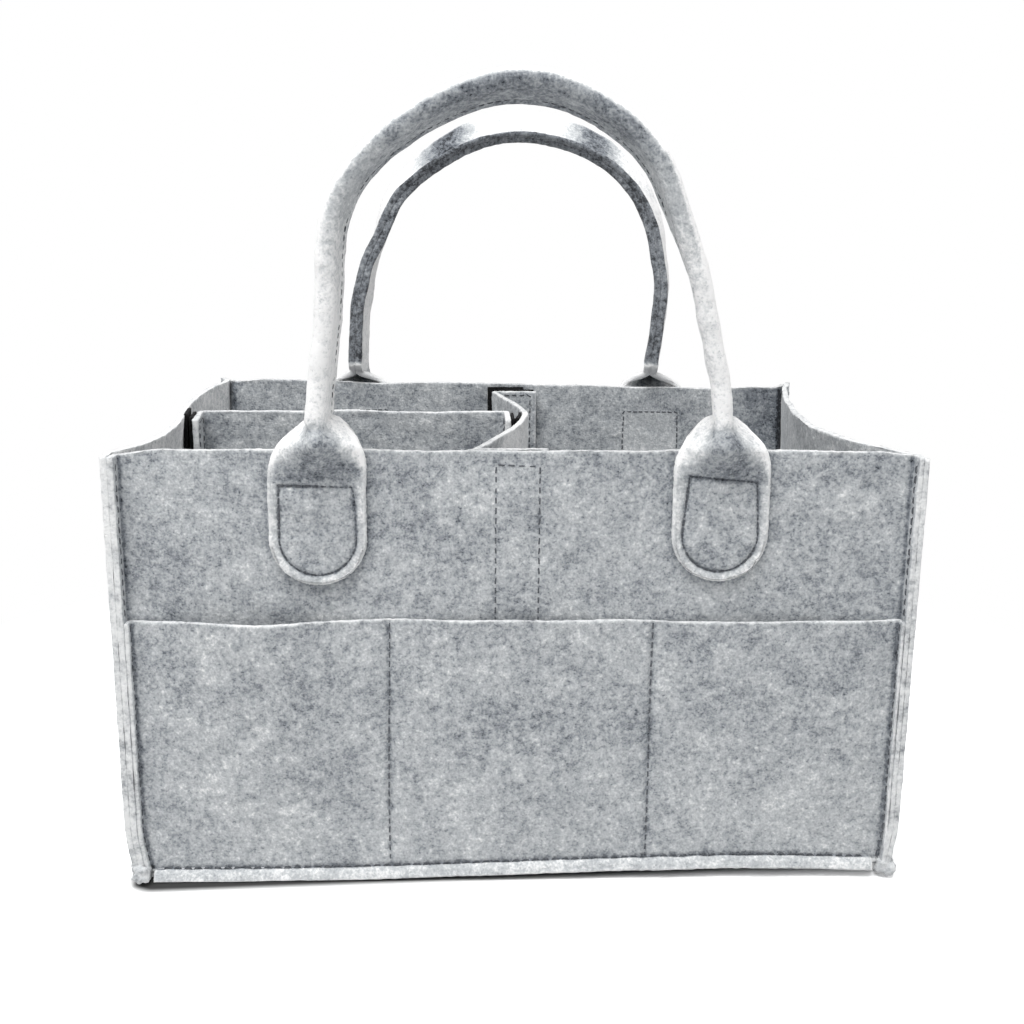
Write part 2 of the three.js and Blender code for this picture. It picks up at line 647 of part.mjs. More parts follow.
// The long divider between the left side panel and the cross divider, and its two flaps
const tapeStack = CURVED_GAP + 2 * TAPE + 2 * GAP + FELT / 2;
const leftFoldX = -HALF_WIDTH + FELT + bowAt(LEFT_BOW, longTapeY[0], TAPE_TOP_Z) + tapeStack;
const rightFoldX = Math.min(...crossTapeLine.map(({ x }) => x)) - TAPE / 2 - TAPE - 2 * GAP - FELT / 2;
const longLine = [leftFoldX + foldClear, rightFoldX - foldClear].map((x) => new THREE.Vector2(x, LONG_Y));
const longPanelCut = cut(
  dividerPanel(longLine),
  flapRoom([leftFoldX, LONG_Y], -Math.PI / 2, 1, LONG_PEEL),
  flapRoom([rightFoldX, LONG_Y], -Math.PI / 2, -1, LONG_PEEL),
);
add("long_divider", longPanelCut, FELT_COLOR);
for (const [hand, x, face] of [
  ["left", leftFoldX, -1],
  ["right", rightFoldX, 1],
]) {
  const fold = groupAt(x, LONG_Y, 0);
  fold.rotation.z = -Math.PI / 2;
  add(`long_${hand}_flap`, flapShape(LONG_FLAP), FELT_COLOR, fold);
  add(`long_${hand}_flap_tape`, flapTape(face), TAPE_COLOR, fold);
}

export default part;
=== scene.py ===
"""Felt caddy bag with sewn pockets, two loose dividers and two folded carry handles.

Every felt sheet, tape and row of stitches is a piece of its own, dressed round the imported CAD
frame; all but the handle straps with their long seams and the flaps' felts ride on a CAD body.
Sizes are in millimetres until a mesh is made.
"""

import logging
import math
from dataclasses import dataclass, field, replace
from enum import Enum
from typing import Callable, Sequence

import bpy
import numpy as np
from mathutils import Matrix, Vector


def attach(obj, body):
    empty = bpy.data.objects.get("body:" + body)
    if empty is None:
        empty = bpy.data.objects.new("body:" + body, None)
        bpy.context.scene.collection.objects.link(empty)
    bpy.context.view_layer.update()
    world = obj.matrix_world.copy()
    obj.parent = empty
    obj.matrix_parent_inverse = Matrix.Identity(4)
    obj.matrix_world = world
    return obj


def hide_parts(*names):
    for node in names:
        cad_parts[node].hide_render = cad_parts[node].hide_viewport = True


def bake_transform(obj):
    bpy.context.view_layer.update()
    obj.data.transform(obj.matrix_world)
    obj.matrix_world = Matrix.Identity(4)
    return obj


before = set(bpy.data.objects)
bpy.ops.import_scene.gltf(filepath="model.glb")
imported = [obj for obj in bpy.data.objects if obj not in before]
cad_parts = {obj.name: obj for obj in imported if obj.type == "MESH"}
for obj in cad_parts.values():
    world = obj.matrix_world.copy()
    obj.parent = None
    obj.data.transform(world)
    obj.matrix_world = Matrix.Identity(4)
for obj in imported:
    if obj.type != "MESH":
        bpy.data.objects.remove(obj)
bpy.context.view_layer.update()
LOG = logging.getLogger("bag")

Array = np.ndarray
MM = 0.001
EDGE_STEP = 1.3  # mm from a sheet's edge to its next places
GAP = 0.3  # mm between two sheets that rest on each other
UP = (0, 0, 1)


class Side(Enum):
    """The two long walls, by the sign of their y."""

    FRONT = -1
    BACK = 1


class Slot(Enum):
    """The record's material slots."""

    FELT = "felt"
    TAPE = "hook_tape"
    THREAD = "thread"


ENDS = ((Side.FRONT, "front"), (Side.BACK, "back"))
HANDS = ((-1, "left"), (1, "right"))


# ---- numbers and lines ----


def unit(vectors: Array) -> Array:
    """Vectors scaled to length 1."""
    size = np.linalg.norm(vectors, axis=-1, keepdims=True)
    return vectors / np.maximum(size, 1e-9)


def waves(points: Array, length: float, seed: int, count: int = 8) -> Array:
    """Smooth noise of about unit size.

    Args:
        points: places in mm, the last axis being x, y and z.
        length: the usual distance between crests, in mm.
        seed: which noise.
        count: how many waves are added up.

    Returns:
        One value for each point.
    """
    rng = np.random.default_rng(seed)
    ways = unit(rng.normal(size=(count, 3))) * rng.uniform(0.7, 1.4, (count, 1))
    phases = rng.uniform(0, 2 * math.pi, count)
    turns = points @ (ways * 2 * math.pi / length).T + phases
    return np.sin(turns).sum(-1) * math.sqrt(2 / count)


def curve(knots: Sequence[Sequence[float]], at: Array) -> Array:
    """Values of the smooth curve through some knots.

    Args:
        knots: pairs of a place and a value, with the places rising.
        at: where the curve is wanted; beyond the knots it keeps its end values.

    Returns:
        The curve's values.
    """
    x, y = np.asarray(knots, float).T
    gap = np.diff(x)
    slope = np.diff(y) / gap
    size = len(x)
    matrix, right = np.eye(size), np.zeros(size)
    for n in range(1, size - 1):
        matrix[n, n - 1 : n + 2] = gap[n - 1], 2 * (gap[n - 1] + gap[n]), gap[n]
        right[n] = 6 * (slope[n] - slope[n - 1])
    bend = np.linalg.solve(matrix, right)
    at = np.clip(at, x[0], x[-1])
    k = np.clip(np.searchsorted(x, at) - 1, 0, size - 2)
    a, b = at - x[k], x[k + 1] - at
    h = gap[k]
    return (
        (bend[k] * b**3 + bend[k + 1] * a**3) / (6 * h)
        + (y[k] / h - bend[k] * h / 6) * b
        + (y[k + 1] / h - bend[k + 1] * h / 6) * a
    )


def ease(value: Array, low: float, high: float) -> Array:
    """A smooth step from 0 at low to 1 at high."""
    t = np.clip((value - low) / (high - low), 0, 1)
    return t * t * t * (t * (6 * t - 15) + 10)


def peak(value: Array, width: float) -> Array:
    """A smooth bump, 1 where the value is 0 and gone beyond about twice the width."""
    return np.exp(-((value / width) ** 2))


def along_x(x: Array) -> Array:
    """Places on the x axis, for noise that changes along x only."""
    return np.stack([x, x * 0, x * 0], -1)


def box(near: float, far: float, low: float, high: float) -> list[tuple[float, float]]:
    """The corners of an upright rectangle, up at near and down at far."""
    return [(near, low), (near, high), (far, high), (far, low)]


def lengths(line: Array) -> Array:
    """The length walked along a line at each of its points."""
    return np.concatenate([[0], np.cumsum(np.linalg.norm(np.diff(line, axis=0), axis=1))])


def walk(line: Array, at: Array) -> Array:
    """Points of a line at the given lengths along it."""
    reached = lengths(line)
    return np.stack([np.interp(at, reached, line[:, n]) for n in range(line.shape[1])], -1)


def smooth_line(knots: Array, step: float) -> Array:
    """A smooth line through knots, with points about one step apart."""
    reached = lengths(knots)
    at = np.linspace(0, reached[-1], max(2, round(reached[-1] / step)))
    axes = range(knots.shape[1])
    return np.stack([curve(np.stack([reached, knots[:, n]], -1), at) for n in axes], -1)


def rounded(corners: Array, radius: float, steps: int = 8) -> Array:
    """A line through corners with each sharp one rounded off.

    Args:
        corners: the corners, in two or three axes.
        radius: the rounding's radius.
        steps: how many steps a rounding takes.

    Returns:
        The points of the line.
    """
    line = [corners[0]]
    for before, corner, after in zip(corners, corners[1:], corners[2:]):
        into, out = unit(corner - before), unit(after - corner)
        turn = math.acos(np.clip(into @ out, -1, 1))
        if turn < 0.3:
            line.append(corner)
            continue
        reach = radius * math.tan(turn / 2)
        centre = corner + unit(out - into) * radius / math.cos(turn / 2)
        a, b = corner - into * reach - centre, corner + out * reach - centre
        for share in np.linspace(0, 1, steps + 1):
            parts = math.sin((1 - share) * turn) * a + math.sin(share * turn) * b
            line.append(centre + parts / math.sin(turn))
    line.append(corners[-1])
    return np.array(line)


def stations(length: float, step: float, *fine: tuple[float, float, float]) -> Array:
    """Places from 0 to a length, closer together in some stretches.

    Args:
        length: where the last place is.
        step: the usual distance between places.
        fine: stretches as (middle, reach to each side, step).

    Returns:
        The places.
    """
    places = [EDGE_STEP]
    while places[-1] < length - EDGE_STEP:
        near = [own for middle, reach, own in fine if abs(places[-1] - middle) < reach]
        places.append(places[-1] + min([step, *near]))
    inner = np.array(places)
    inner = EDGE_STEP + (inner - EDGE_STEP) * (length - 2 * EDGE_STEP) / (inner[-1] - EDGE_STEP)
    return np.concatenate([[0], inner, [length]])


# ---- closed meshes ----


@dataclass
class Shape:
    """A closed mesh: places in mm, four-sided faces, how cut each place is, and in pale the light
    or shade painted on it.
    """

    places: Array
    faces: Array
    cut: Array
    pale: Array | None = None

    def __post_init__(self) -> None:
        """Paints no light or shade on a shape if nothing is said."""
        if self.pale is None:
            self.pale = np.zeros(len(self.places))

    @staticmethod
    def joined(shapes: Sequence["Shape"]) -> "Shape":
        """Several shapes as one."""
        starts = np.cumsum([0] + [len(s.places) for s in shapes[:-1]])
        return Shape(
            np.concatenate([s.places for s in shapes]),
            np.concatenate([s.faces + start for s, start in zip(shapes, starts)]),
            np.concatenate([s.cut for s in shapes]),
            np.concatenate([s.pale for s in shapes]),
        )

    def outward(self) -> "Shape":
        """The same shape with its faces turned outwards."""
        p = self.places - self.places.mean(0)
        a, b, c, d = (p[self.faces[:, n]] for n in range(4))
        volume = (a * np.cross(b, c)).sum() + (a * np.cross(c, d)).sum()
        return self if volume > 0 else Shape(self.places, self.faces[:, ::-1], self.cut, self.pale)


def grid_normals(middle: Array) -> Array:
    """Normals of a grid of points."""
    return unit(np.cross(np.gradient(middle, axis=0), np.gradient(middle, axis=1)))


def cloth(
    middle: Array,
    thickness: float | Array,
    rounding: float = 0.5,
    rough: float = 0.1,
    seed: int = 0,
    pale: float | Array = 0.0,
    fray_and_highlight: float | Array = 1.0,
) -> Shape:
    """A felt sheet with slightly lumpy faces and rounded, fraying cut edges.

    Args:
        middle: the middle surface as rows x columns x 3 places in mm.
        thickness: the sheet's thickness, one value or one for each place.
        rounding: the radius of the cut edges' corners.
        rough: how far the faces and edges are uneven.
        seed: which noise.
        pale: the light (above 0) or shade (below 0) painted on the felt, one value or one for each
            place.
        fray_and_highlight: how much the cut edges' paler colour shows, partly a painted highlight;
            one value or one for each place.

    Returns:
        The sheet as a closed shape.
    """
    rows, columns = middle.shape[:2]
    pale = np.broadcast_to(pale, (rows, columns))
    fray_and_highlight = np.broadcast_to(fray_and_highlight, (rows, columns))
    normal = grid_normals(middle)
    half = np.broadcast_to(np.asarray(thickness, float) / 2, (rows, columns))
    i = np.concatenate(
        [
            np.zeros(columns, int),
            np.arange(1, rows),
            np.full(columns - 1, rows - 1),
            np.arange(rows - 2, 0, -1),
        ]
    )
    j = np.concatenate(
        [
            np.arange(columns),
            np.full(rows - 1, columns - 1),
            np.arange(columns - 2, -1, -1),
            np.zeros(rows - 2, int),
        ]
    )
    edge, edge_normal, edge_half = middle[i, j], normal[i, j], half[i, j]
    inside = middle[np.clip(i, 1, rows - 2), np.clip(j, 1, columns - 2)]
    tangent = unit(np.roll(edge, -1, 0) - np.roll(edge, 1, 0))
    out = unit(np.cross(tangent, edge_normal))
    out = out if (out * (edge - inside)).sum() > 0 else -out
    round_at = np.minimum(rounding, edge_half * 0.9)[:, None]

    skins = []
    for sign in (1, -1):
        face = middle + sign * normal * half[..., None]
        uneven = waves(face, 4.5, seed + 1) * 0.5 + waves(face, 13, seed + 2)
        face = face + sign * normal * (rough * uneven)[..., None]
        face[i, j] -= out * round_at
        skins.append(face.reshape(-1, 3))

    rng = np.random.default_rng(seed)
    corner = 1 - math.sqrt(0.5)
    rings = []
    profile = [(1, corner), (1, 1), (0, 0), (-1, 1), (-1, corner)]
    for sign, share in profile:
        fray = rng.normal(0, rough, (len(i), 2))
        back = -round_at * (corner if share == corner else 0)
        lift = sign * (edge_half[:, None] - round_at * share)
        rings.append(edge + out * (back + fray[:, :1]) + edge_normal * (lift + fray[:, 1:] * 0.6))

    size, loop = rows * columns, len(i)
    at = np.arange(size).reshape(rows, columns)
    skin = np.stack([at[:-1, :-1], at[1:, :-1], at[1:, 1:], at[:-1, 1:]], -1).reshape(-1, 4)
    loops = [at[i, j]] + [2 * size + n * loop + np.arange(loop) for n in range(len(rings))]
    loops.append(size + at[i, j])
    sides = [
        np.stack([a, np.roll(a, -1), np.roll(b, -1), b], -1) for a, b in zip(loops, loops[1:])
    ]
    faces = np.concatenate([skin, skin[:, ::-1] + size, *matched(sides, skin)])
    cut = np.zeros(2 * size + len(rings) * loop)
    # cut edges are paler, partly as the fibres' own colour and partly as a painted highlight; the
    # rounded rings most
    cut[at[i, j]] = cut[size + at[i, j]] = 0.4 * fray_and_highlight[i, j]
    cut[2 * size :] = (np.array([0.8, 1, 1, 1, 0.8])[:, None] * fray_and_highlight[i, j]).ravel()
    light = np.concatenate([pale.ravel(), pale.ravel(), np.tile(pale[i, j], len(rings))])
    return Shape(np.concatenate([*skins, *rings]), faces, cut, light).outward()


def crease_shade(walked: Array, turn: float, total: float) -> Array:
    """The shade painted in a wall's line where its two margins bend out.

    Args:
        walked: lengths along the line in plan, from one margin's end.
        turn: how long a margin is.
        total: how long the line is.

    Returns:
        The painted shade at each place.
    """
    crease = np.minimum(np.abs(walked - turn), np.abs(walked - total + turn))
    return 0.8 * peak(crease - 0.6, 1.2)


def lit_one_way(sheet: Shape, middle: Array, towards: tuple[float, float, float]) -> None:
    """Keeps a sheet's painted light on the face that looks one way, and takes it off the other.

    Args:
        sheet: a sheet that cloth made.
        middle: its middle surface.
        towards: the way that the face with painted light looks.
    """
    spine = middle.reshape(-1, 3)
    for start in (0, len(spine)):
        face = slice(start, start + len(spine))
        sheet.pale[face] *= (sheet.places[face] - spine) @ np.array(towards) > 0


def matched(sides: Sequence[Array], skin: Array) -> list[Array]:
    """The side faces of a sheet, turned to go the same way round as its skin's faces."""
    start, end = sides[0][0, 0], sides[0][0, 1]
    face = skin[(skin == start).any(1) & (skin == end).any(1)][0]
    at = int(np.where(face == start)[0][0])
    same_way = face[(at + 1) % 4] == end
    return [side[:, ::-1] if same_way else side for side in sides]


def lump(centre: Sequence[float], size: Sequence[float], seed: int, steps: int = 8) -> Shape:
    """A lumpy bunch of felt.

    Args:
        centre: its middle, in mm.
        size: its half sizes.
        seed: which noise.
        steps: faces along each side.

    Returns:
        The bunch as a closed shape.
    """
    t = np.tan(np.linspace(-math.pi / 4, math.pi / 4, steps + 1))
    u, v = np.meshgrid(t, t, indexing="ij")
    one = np.ones_like(u)
    sheets = []
    for axis in range(3):
        for sign in (1, -1):
            parts = [None, None, None]
            parts[axis] = sign * one
            parts[(axis + 1) % 3], parts[(axis + 2) % 3] = u * sign, v
            sheets.append(np.stack(parts, -1))
    places = np.concatenate([s.reshape(-1, 3) for s in sheets])
    at = np.arange((steps + 1) ** 2).reshape(steps + 1, steps + 1)
    quad = np.stack([at[:-1, :-1], at[1:, :-1], at[1:, 1:], at[:-1, 1:]], -1).reshape(-1, 4)
    faces = np.concatenate([quad + n * at.size for n in range(6)])
    key = np.round(places, 6)
    _, first, back = np.unique(key, axis=0, return_index=True, return_inverse=True)
    places, faces = places[first], back.reshape(-1)[faces]
    ball = places / np.linalg.norm(places, axis=1, keepdims=True)
    soft = ball * 0.6 + places / 1.25 * 0.4
    soft = soft * np.asarray(size) + np.asarray(centre)
    soft = soft + ball * (waves(soft, 4.2, seed) * 0.5 + waves(soft, 2.0, seed + 1) * 0.2)[:, None]
    # the bunch gets the cut edges' paler colour all over: partly the fibres' own colour, partly a
    # painted highlight
    return Shape(soft, faces, np.full(len(soft), 0.55)).outward()


@dataclass
class Thread:
    """Sewing thread and how it is stitched."""

    radius: float = 0.36
    pitch: float = 4.2
    stitch: float = 3.5
    rise: float = 0.16
    dip: float = 0.85
    sides: int = 6
    stops: int = 7

    def row(self, path: Array, normals: Array | Sequence[float], seed: int) -> Shape:
        """A row of separate stitches.

        Args:
            path: points on the felt's surface that the row follows, in mm.
            normals: the surface's outward normals there, or a flat surface's one normal.
            seed: which unevenness.

        Returns:
            All stitches of the row as one shape.
        """
        normals = np.broadcast_to(normals, path.shape)
        total = lengths(path)[-1]
        count = max(1, round(total / self.pitch))
        pitch = total / count
        rng = np.random.default_rng(seed)
        middle = (np.arange(count) + 0.5) * pitch + rng.normal(0, 0.12, count)
        here = walk(path, middle)
        along = unit(walk(path, middle + 1) - walk(path, middle - 1))
        reached = lengths(path)
        normal = unit(
            np.stack([np.interp(middle, reached, normals[:, n]) for n in range(3)], -1)
        )
        side = unit(np.cross(normal, along))
        along = unit(along + side * rng.normal(0, 0.05, (count, 1)))
        reach = self.stitch / self.pitch * pitch / 2 * rng.normal(1, 0.05, count)
        t = np.linspace(-1, 1, self.stops)
        height = self.rise - (self.rise + self.dip) * np.abs(t) ** 5
        thick = self.radius * (1 - 0.3 * np.abs(t) ** 6)
        turn = np.linspace(0, 2 * math.pi, self.sides, endpoint=False)
        centre = (
            here[:, None]
            + along[:, None] * (t * reach[:, None])[..., None]
            + normal[:, None] * height[None, :, None]
        )
        ring = (
            normal[:, None, None] * (np.cos(turn) * thick[:, None])[None, ..., None]
            + side[:, None, None] * (np.sin(turn) * thick[:, None])[None, ..., None]
        )
        places = (centre[:, :, None] + ring).reshape(-1, 3)
        first, turned = np.arange(self.stops - 1)[:, None] * self.sides, np.arange(self.sides)
        a, b = first + turned, first + (turned + 1) % self.sides
        tube = np.stack([a, b, b + self.sides, a + self.sides], -1).reshape(-1, 4)
        last = (self.stops - 1) * self.sides
        caps = np.array([[0, 3, 2, 1], [0, 5, 4, 3], [0, 1, 2, 3], [0, 3, 4, 5]])
        caps[2:] += last
        one = np.concatenate([tube, caps])
        size = self.stops * self.sides
        faces = (one[None] + (np.arange(count) * size)[:, None, None]).reshape(-1, 4)
        return Shape(places, faces, np.zeros(len(places))).outward()


# ---- materials ----


def linear(red: float, green: float, blue: float) -> tuple[float, float, float, float]:
    """A colour given in screen values from 0 to 255, as Blender's linear colour."""
    parts = [c / 255 for c in (red, green, blue)]
    bent = [c / 12.92 if c <= 0.04045 else ((c + 0.055) / 1.055) ** 2.4 for c in parts]
    return (*bent, 1.0)


class Signal:
    """An output in a material's nodes, which Python's operators work on."""

    def __init__(self, recipe: "Recipe", socket: bpy.types.NodeSocket) -> None:
        """Wraps one socket of a recipe."""
        self.recipe = recipe
        self.socket = socket

    def other(self, name: str) -> "Signal":
        """Another output of the same node."""
        return Signal(self.recipe, self.socket.node.outputs[name])

    def _math(self, operation: str, *values: "Signal | float") -> "Signal":
        """A Math node on some values."""
        inputs = dict(enumerate(values))
        return self.recipe.node("ShaderNodeMath", {"operation": operation}, inputs)

    def __add__(self, value: "Signal | float") -> "Signal":
        """self + value"""
        return self._math("ADD", self, value)

    def __radd__(self, value: float) -> "Signal":
        """value + self"""
        return self._math("ADD", value, self)

    def __sub__(self, value: "Signal | float") -> "Signal":
        """self - value"""
        return self._math("SUBTRACT", self, value)

    def __rsub__(self, value: float) -> "Signal":
        """value - self"""
        return self._math("SUBTRACT", value, self)

    def __mul__(self, value: "Signal | float") -> "Signal":
        """self * value"""
        return self._math("MULTIPLY", self, value)

    def __lt__(self, value: "Signal | float") -> "Signal":
        """1 where self is less than value, otherwise 0"""
        return self._math("LESS_THAN", self, value)

    def most(self, value: "Signal | float") -> "Signal":
        """The larger of two values."""
        return self._math("MAXIMUM", self, value)

    def size(self) -> "Signal":
        """The value without its sign."""
        return self._math("ABSOLUTE", self)

    def root(self) -> "Signal":
        """The square root of the value."""
        return self._math("SQRT", self)

    def clear(self) -> "Signal":
        """The value kept between 0 and 1."""
        return self._math("MINIMUM", self.most(0.0), 1.0)

    def over(self, low: float, high: float) -> "Signal":
        """A smooth step of the value, from 0 at low to 1 at high."""
        settings = {"interpolation_type": "SMOOTHSTEP"}
        inputs = {"Value": self, "From Min": low, "From Max": high}
        return self.recipe.node("ShaderNodeMapRange", settings, inputs)


class Recipe:
    """One material and the nodes that make it."""

    def __init__(self, name: str, tree: bpy.types.NodeTree | None = None) -> None:
        """Makes an empty material of that name, or works in another node tree."""
        if tree is None:
            self.material = bpy.data.materials.new(name)
            self.material.use_nodes = True
            tree = self.material.node_tree
        self.tree = tree
        self.tree.nodes.clear()

    def node(
        self,
        kind: str,
        settings: dict | None = None,
        inputs: dict | None = None,
        out: str | int | None = 0,
    ) -> Signal | None:
        """Adds a node.

        Args:
            kind: the node's type.
            settings: what is set on the node first; stops are a ramp's places and colours.
            inputs: the value or signal of each socket, by name or place.
            out: which output is wanted, or None for a node that has none.

        Returns:
            That output.
        """
        made = self.tree.nodes.new(kind)
        for name, value in (settings or {}).items():
            if name == "stops":
                band = made.color_ramp.elements
                while len(band) < len(value):
                    band.new(0.5)
                for element, (place, colour) in zip(band, value):
                    element.position, element.color = place, colour
            else:
                setattr(made, name, value)
        for name, value in (inputs or {}).items():
            if isinstance(value, Signal):
                self.tree.links.new(value.socket, made.inputs[name])
            else:
                made.inputs[name].default_value = value
        return None if out is None else Signal(self, made.outputs[out])

    def places(self) -> Signal:
        """The object's own coordinates in mm."""
        at = self.node("ShaderNodeTexCoord", out="Object")
        return self.node("ShaderNodeVectorMath", {"operation": "SCALE"}, {0: at, "Scale": 1 / MM})

    def noise(self, at: Signal, size: float, detail: float = 2, rough: float = 0.5) -> Signal:
        """Cloudy noise whose blotches are about size mm wide."""
        inputs = {"Vector": at, "Scale": 1 / size, "Detail": detail, "Roughness": rough}
        return self.node("ShaderNodeTexNoise", {}, inputs, "Fac")

    def mix(self, share: Signal | float, a: object, b: object) -> Signal:
        """A colour between a and b."""
        inputs = {0: share, 6: a, 7: b}
        return self.node("ShaderNodeMix", {"data_type": "RGBA"}, inputs, 2)

    def ramp(self, value: Signal, stops: Sequence[tuple[float, tuple]]) -> Signal:
        """A colour looked up between stops, each a place and a colour."""
        return self.node("ShaderNodeValToRGB", {"stops": stops}, {"Fac": value}, "Color")

    def finish(self, shader: Signal) -> bpy.types.Material:
        """Ends the recipe with its surface shader."""
        self.node("ShaderNodeOutputMaterial", {}, {"Surface": shader}, None)
        return self.material


@dataclass(frozen=True)
class FeltFinish:
    """Heathered felt: pale and dark fibres pressed together, paler at the cut edges (partly the
    fibres' own colour, partly a painted highlight), with light and shade painted in from the pale
    attribute.
    """

    name: str = "heather_felt"
    tones: tuple = (
        (0.0, (48, 51, 56)),
        (0.14, (100, 105, 112)),
        (0.3, (126, 131, 137)),
        (0.52, (168, 172, 176)),
        (0.75, (200, 203, 205)),
        (1.0, (250, 250, 250)),
    )
    # the cut edges' near-white: partly the fibres' own colour, partly a painted highlight
    edge: tuple = (238, 239, 239)
    roughness: float = 0.95

    def fibres(
        self, recipe: Recipe, at: Signal, turn: tuple[float, float, float], share: float
    ) -> Signal:
        """Short dark fibres lying in one direction.

        Args:
            recipe: where the nodes go.
            at: coordinates in mm.
            turn: the direction, as angles about the three axes.
            share: the share of the fibres that show.

        Returns:
            1 on a fibre and 0 beside it.
        """
        size = {"Rotation": turn, "Scale": (0.5, 1.7, 1.7)}
        lying = recipe.node("ShaderNodeMapping", {}, {"Vector": at, **size}, "Vector")
        cell = recipe.node("ShaderNodeTexVoronoi", {}, {"Vector": lying, "Scale": 1.0}, "Distance")
        pick = recipe.node("ShaderNodeSeparateColor", {}, {"Color": cell.other("Color")}, "Red")
        return (pick < share) * (1 - cell.over(0.15, 0.55))

    def material(self) -> bpy.types.Material:
        """Builds the felt's material."""
        r = Recipe(self.name)
        at = r.places()
        cloud = r.noise(at, 26, 2, 0.5)
        blotch = r.noise(at, 7.5, 2, 0.6)
        grain = r.noise(at, 2.3, 2, 0.7)
        speck = r.noise(at, 0.95, 1, 0.5)
        fleece = (
            0.56
            + (cloud - 0.5) * 0.44
            + (blotch - 0.5) * 0.52
            + (grain - 0.5) * 0.84
            + (speck - 0.5) * 0.50
        )
        curling = {"Vector": at, "Scale": 0.45, "Detail": 1.0}
        curl = r.node("ShaderNodeTexNoise", {}, curling, "Color")
        shift = r.node("ShaderNodeVectorMath", {"operation": "SCALE"}, {0: curl, "Scale": 2.2})
        bent = r.node("ShaderNodeVectorMath", {"operation": "ADD"}, {0: at, 1: shift})
        dark = self.fibres(r, bent, (0.4, 0.7, 0.3), 0.22).most(
            self.fibres(r, bent, (1.9, 0.2, 1.2), 0.22)
        )
        tone = fleece - dark * (0.62 - fleece).over(-0.05, 0.25) * 0.22
        # cut marks cut edges, whitened partly as the fibres' own colour and partly as a painted
        # highlight; pale holds painted light (above 0) and painted shade (below 0)
        cut = r.node("ShaderNodeAttribute", {"attribute_name": "cut"}, {}, "Fac")
        pale = r.node("ShaderNodeAttribute", {"attribute_name": "pale"}, {}, "Fac")
        even = 1 - pale.clear() * 0.45
        tones = [(place, linear(*colour)) for place, colour in self.tones]
        # painted light and shade move the felt up or down its ramp; painted highlights reach its
        # whitest stops
        body = r.ramp(0.56 + (tone - 0.56) * even + pale * 0.42, tones)
        # cut edges whitened, partly as a painted highlight
        edge = (cut * (0.1 + (grain + blotch - 0.55) * 1.5)).clear()
        body = r.mix(edge * 0.85, body, linear(*self.edge))
        height = grain + speck * 0.5 + blotch * 1.2 + dark * 0.15
        bump_inputs = {"Strength": 0.6, "Distance": 0.0006, "Height": height}
        bump = r.node("ShaderNodeBump", {}, bump_inputs, "Normal")
        shader = r.node(
            "ShaderNodeBsdfPrincipled",
            {},
            {
                "Base Color": body,
                "Roughness": self.roughness,
                "Specular IOR Level": 0.15,
                "Sheen Weight": 0.25,
                "Sheen Roughness": 0.5,
                "Normal": bump,
            },
        )
        return r.finish(shader)


@dataclass(frozen=True)
class ThreadFinish:
    """Dark grey sewing thread with a little twist in it."""

    name: str = "grey_thread"
    body: tuple = (64, 68, 74)
    worn: tuple = (104, 108, 113)

    def material(self) -> bpy.types.Material:
        """Builds the thread's material."""
        r = Recipe(self.name)
        at = r.places()
        twist = r.noise(at, 0.5, 2)
        body = r.mix(twist.over(0.45, 0.7), linear(*self.body), linear(*self.worn))
        bump_inputs = {"Strength": 0.5, "Distance": 0.0002, "Height": twist}
        bump = r.node("ShaderNodeBump", {}, bump_inputs, "Normal")
        inputs = {"Base Color": body, "Roughness": 0.7, "Sheen Weight": 0.2, "Normal": bump}
        return r.finish(r.node("ShaderNodeBsdfPrincipled", {}, inputs))


@dataclass(frozen=True)
class TapeFinish:
    """Black hook-and-loop tape with a matte pile."""

    name: str = "black_loop_tape"
    body: tuple = (12, 12, 13)
    loops: tuple = (36, 36, 39)

    def material(self) -> bpy.types.Material:
        """Builds the tape's material."""
        r = Recipe(self.name)
        at = r.places()
        cell = r.node("ShaderNodeTexVoronoi", {}, {"Vector": at, "Scale": 1.1}, "Distance")
        pile = r.noise(at, 0.9, 3, 0.7)
        body = r.mix((pile * (1 - cell)).over(0.2, 0.55), linear(*self.body), linear(*self.loops))
        bump_inputs = {"Strength": 0.8, "Distance": 0.0006, "Height": pile - cell * 0.5}
        bump = r.node("ShaderNodeBump", {}, bump_inputs, "Normal")
        inputs = {"Base Color": body, "Roughness": 0.85, "Specular IOR Level": 0.2, "Normal": bump}
        return r.finish(r.node("ShaderNodeBsdfPrincipled", {}, inputs))


# ---- pieces ----


class Held(Enum):
    """How a sheet is held."""

    STRETCHED = "stretched"
    FOLDED = "folded"
    LAID = "laid"


@dataclass(frozen=True)
class Cut:
    """The flat piece that a sheet is cut as: its sides in mm, how it is held and on what."""

    width: float
    length: float
    rests_on: tuple[str, ...]
    held: Held = Held.STRETCHED


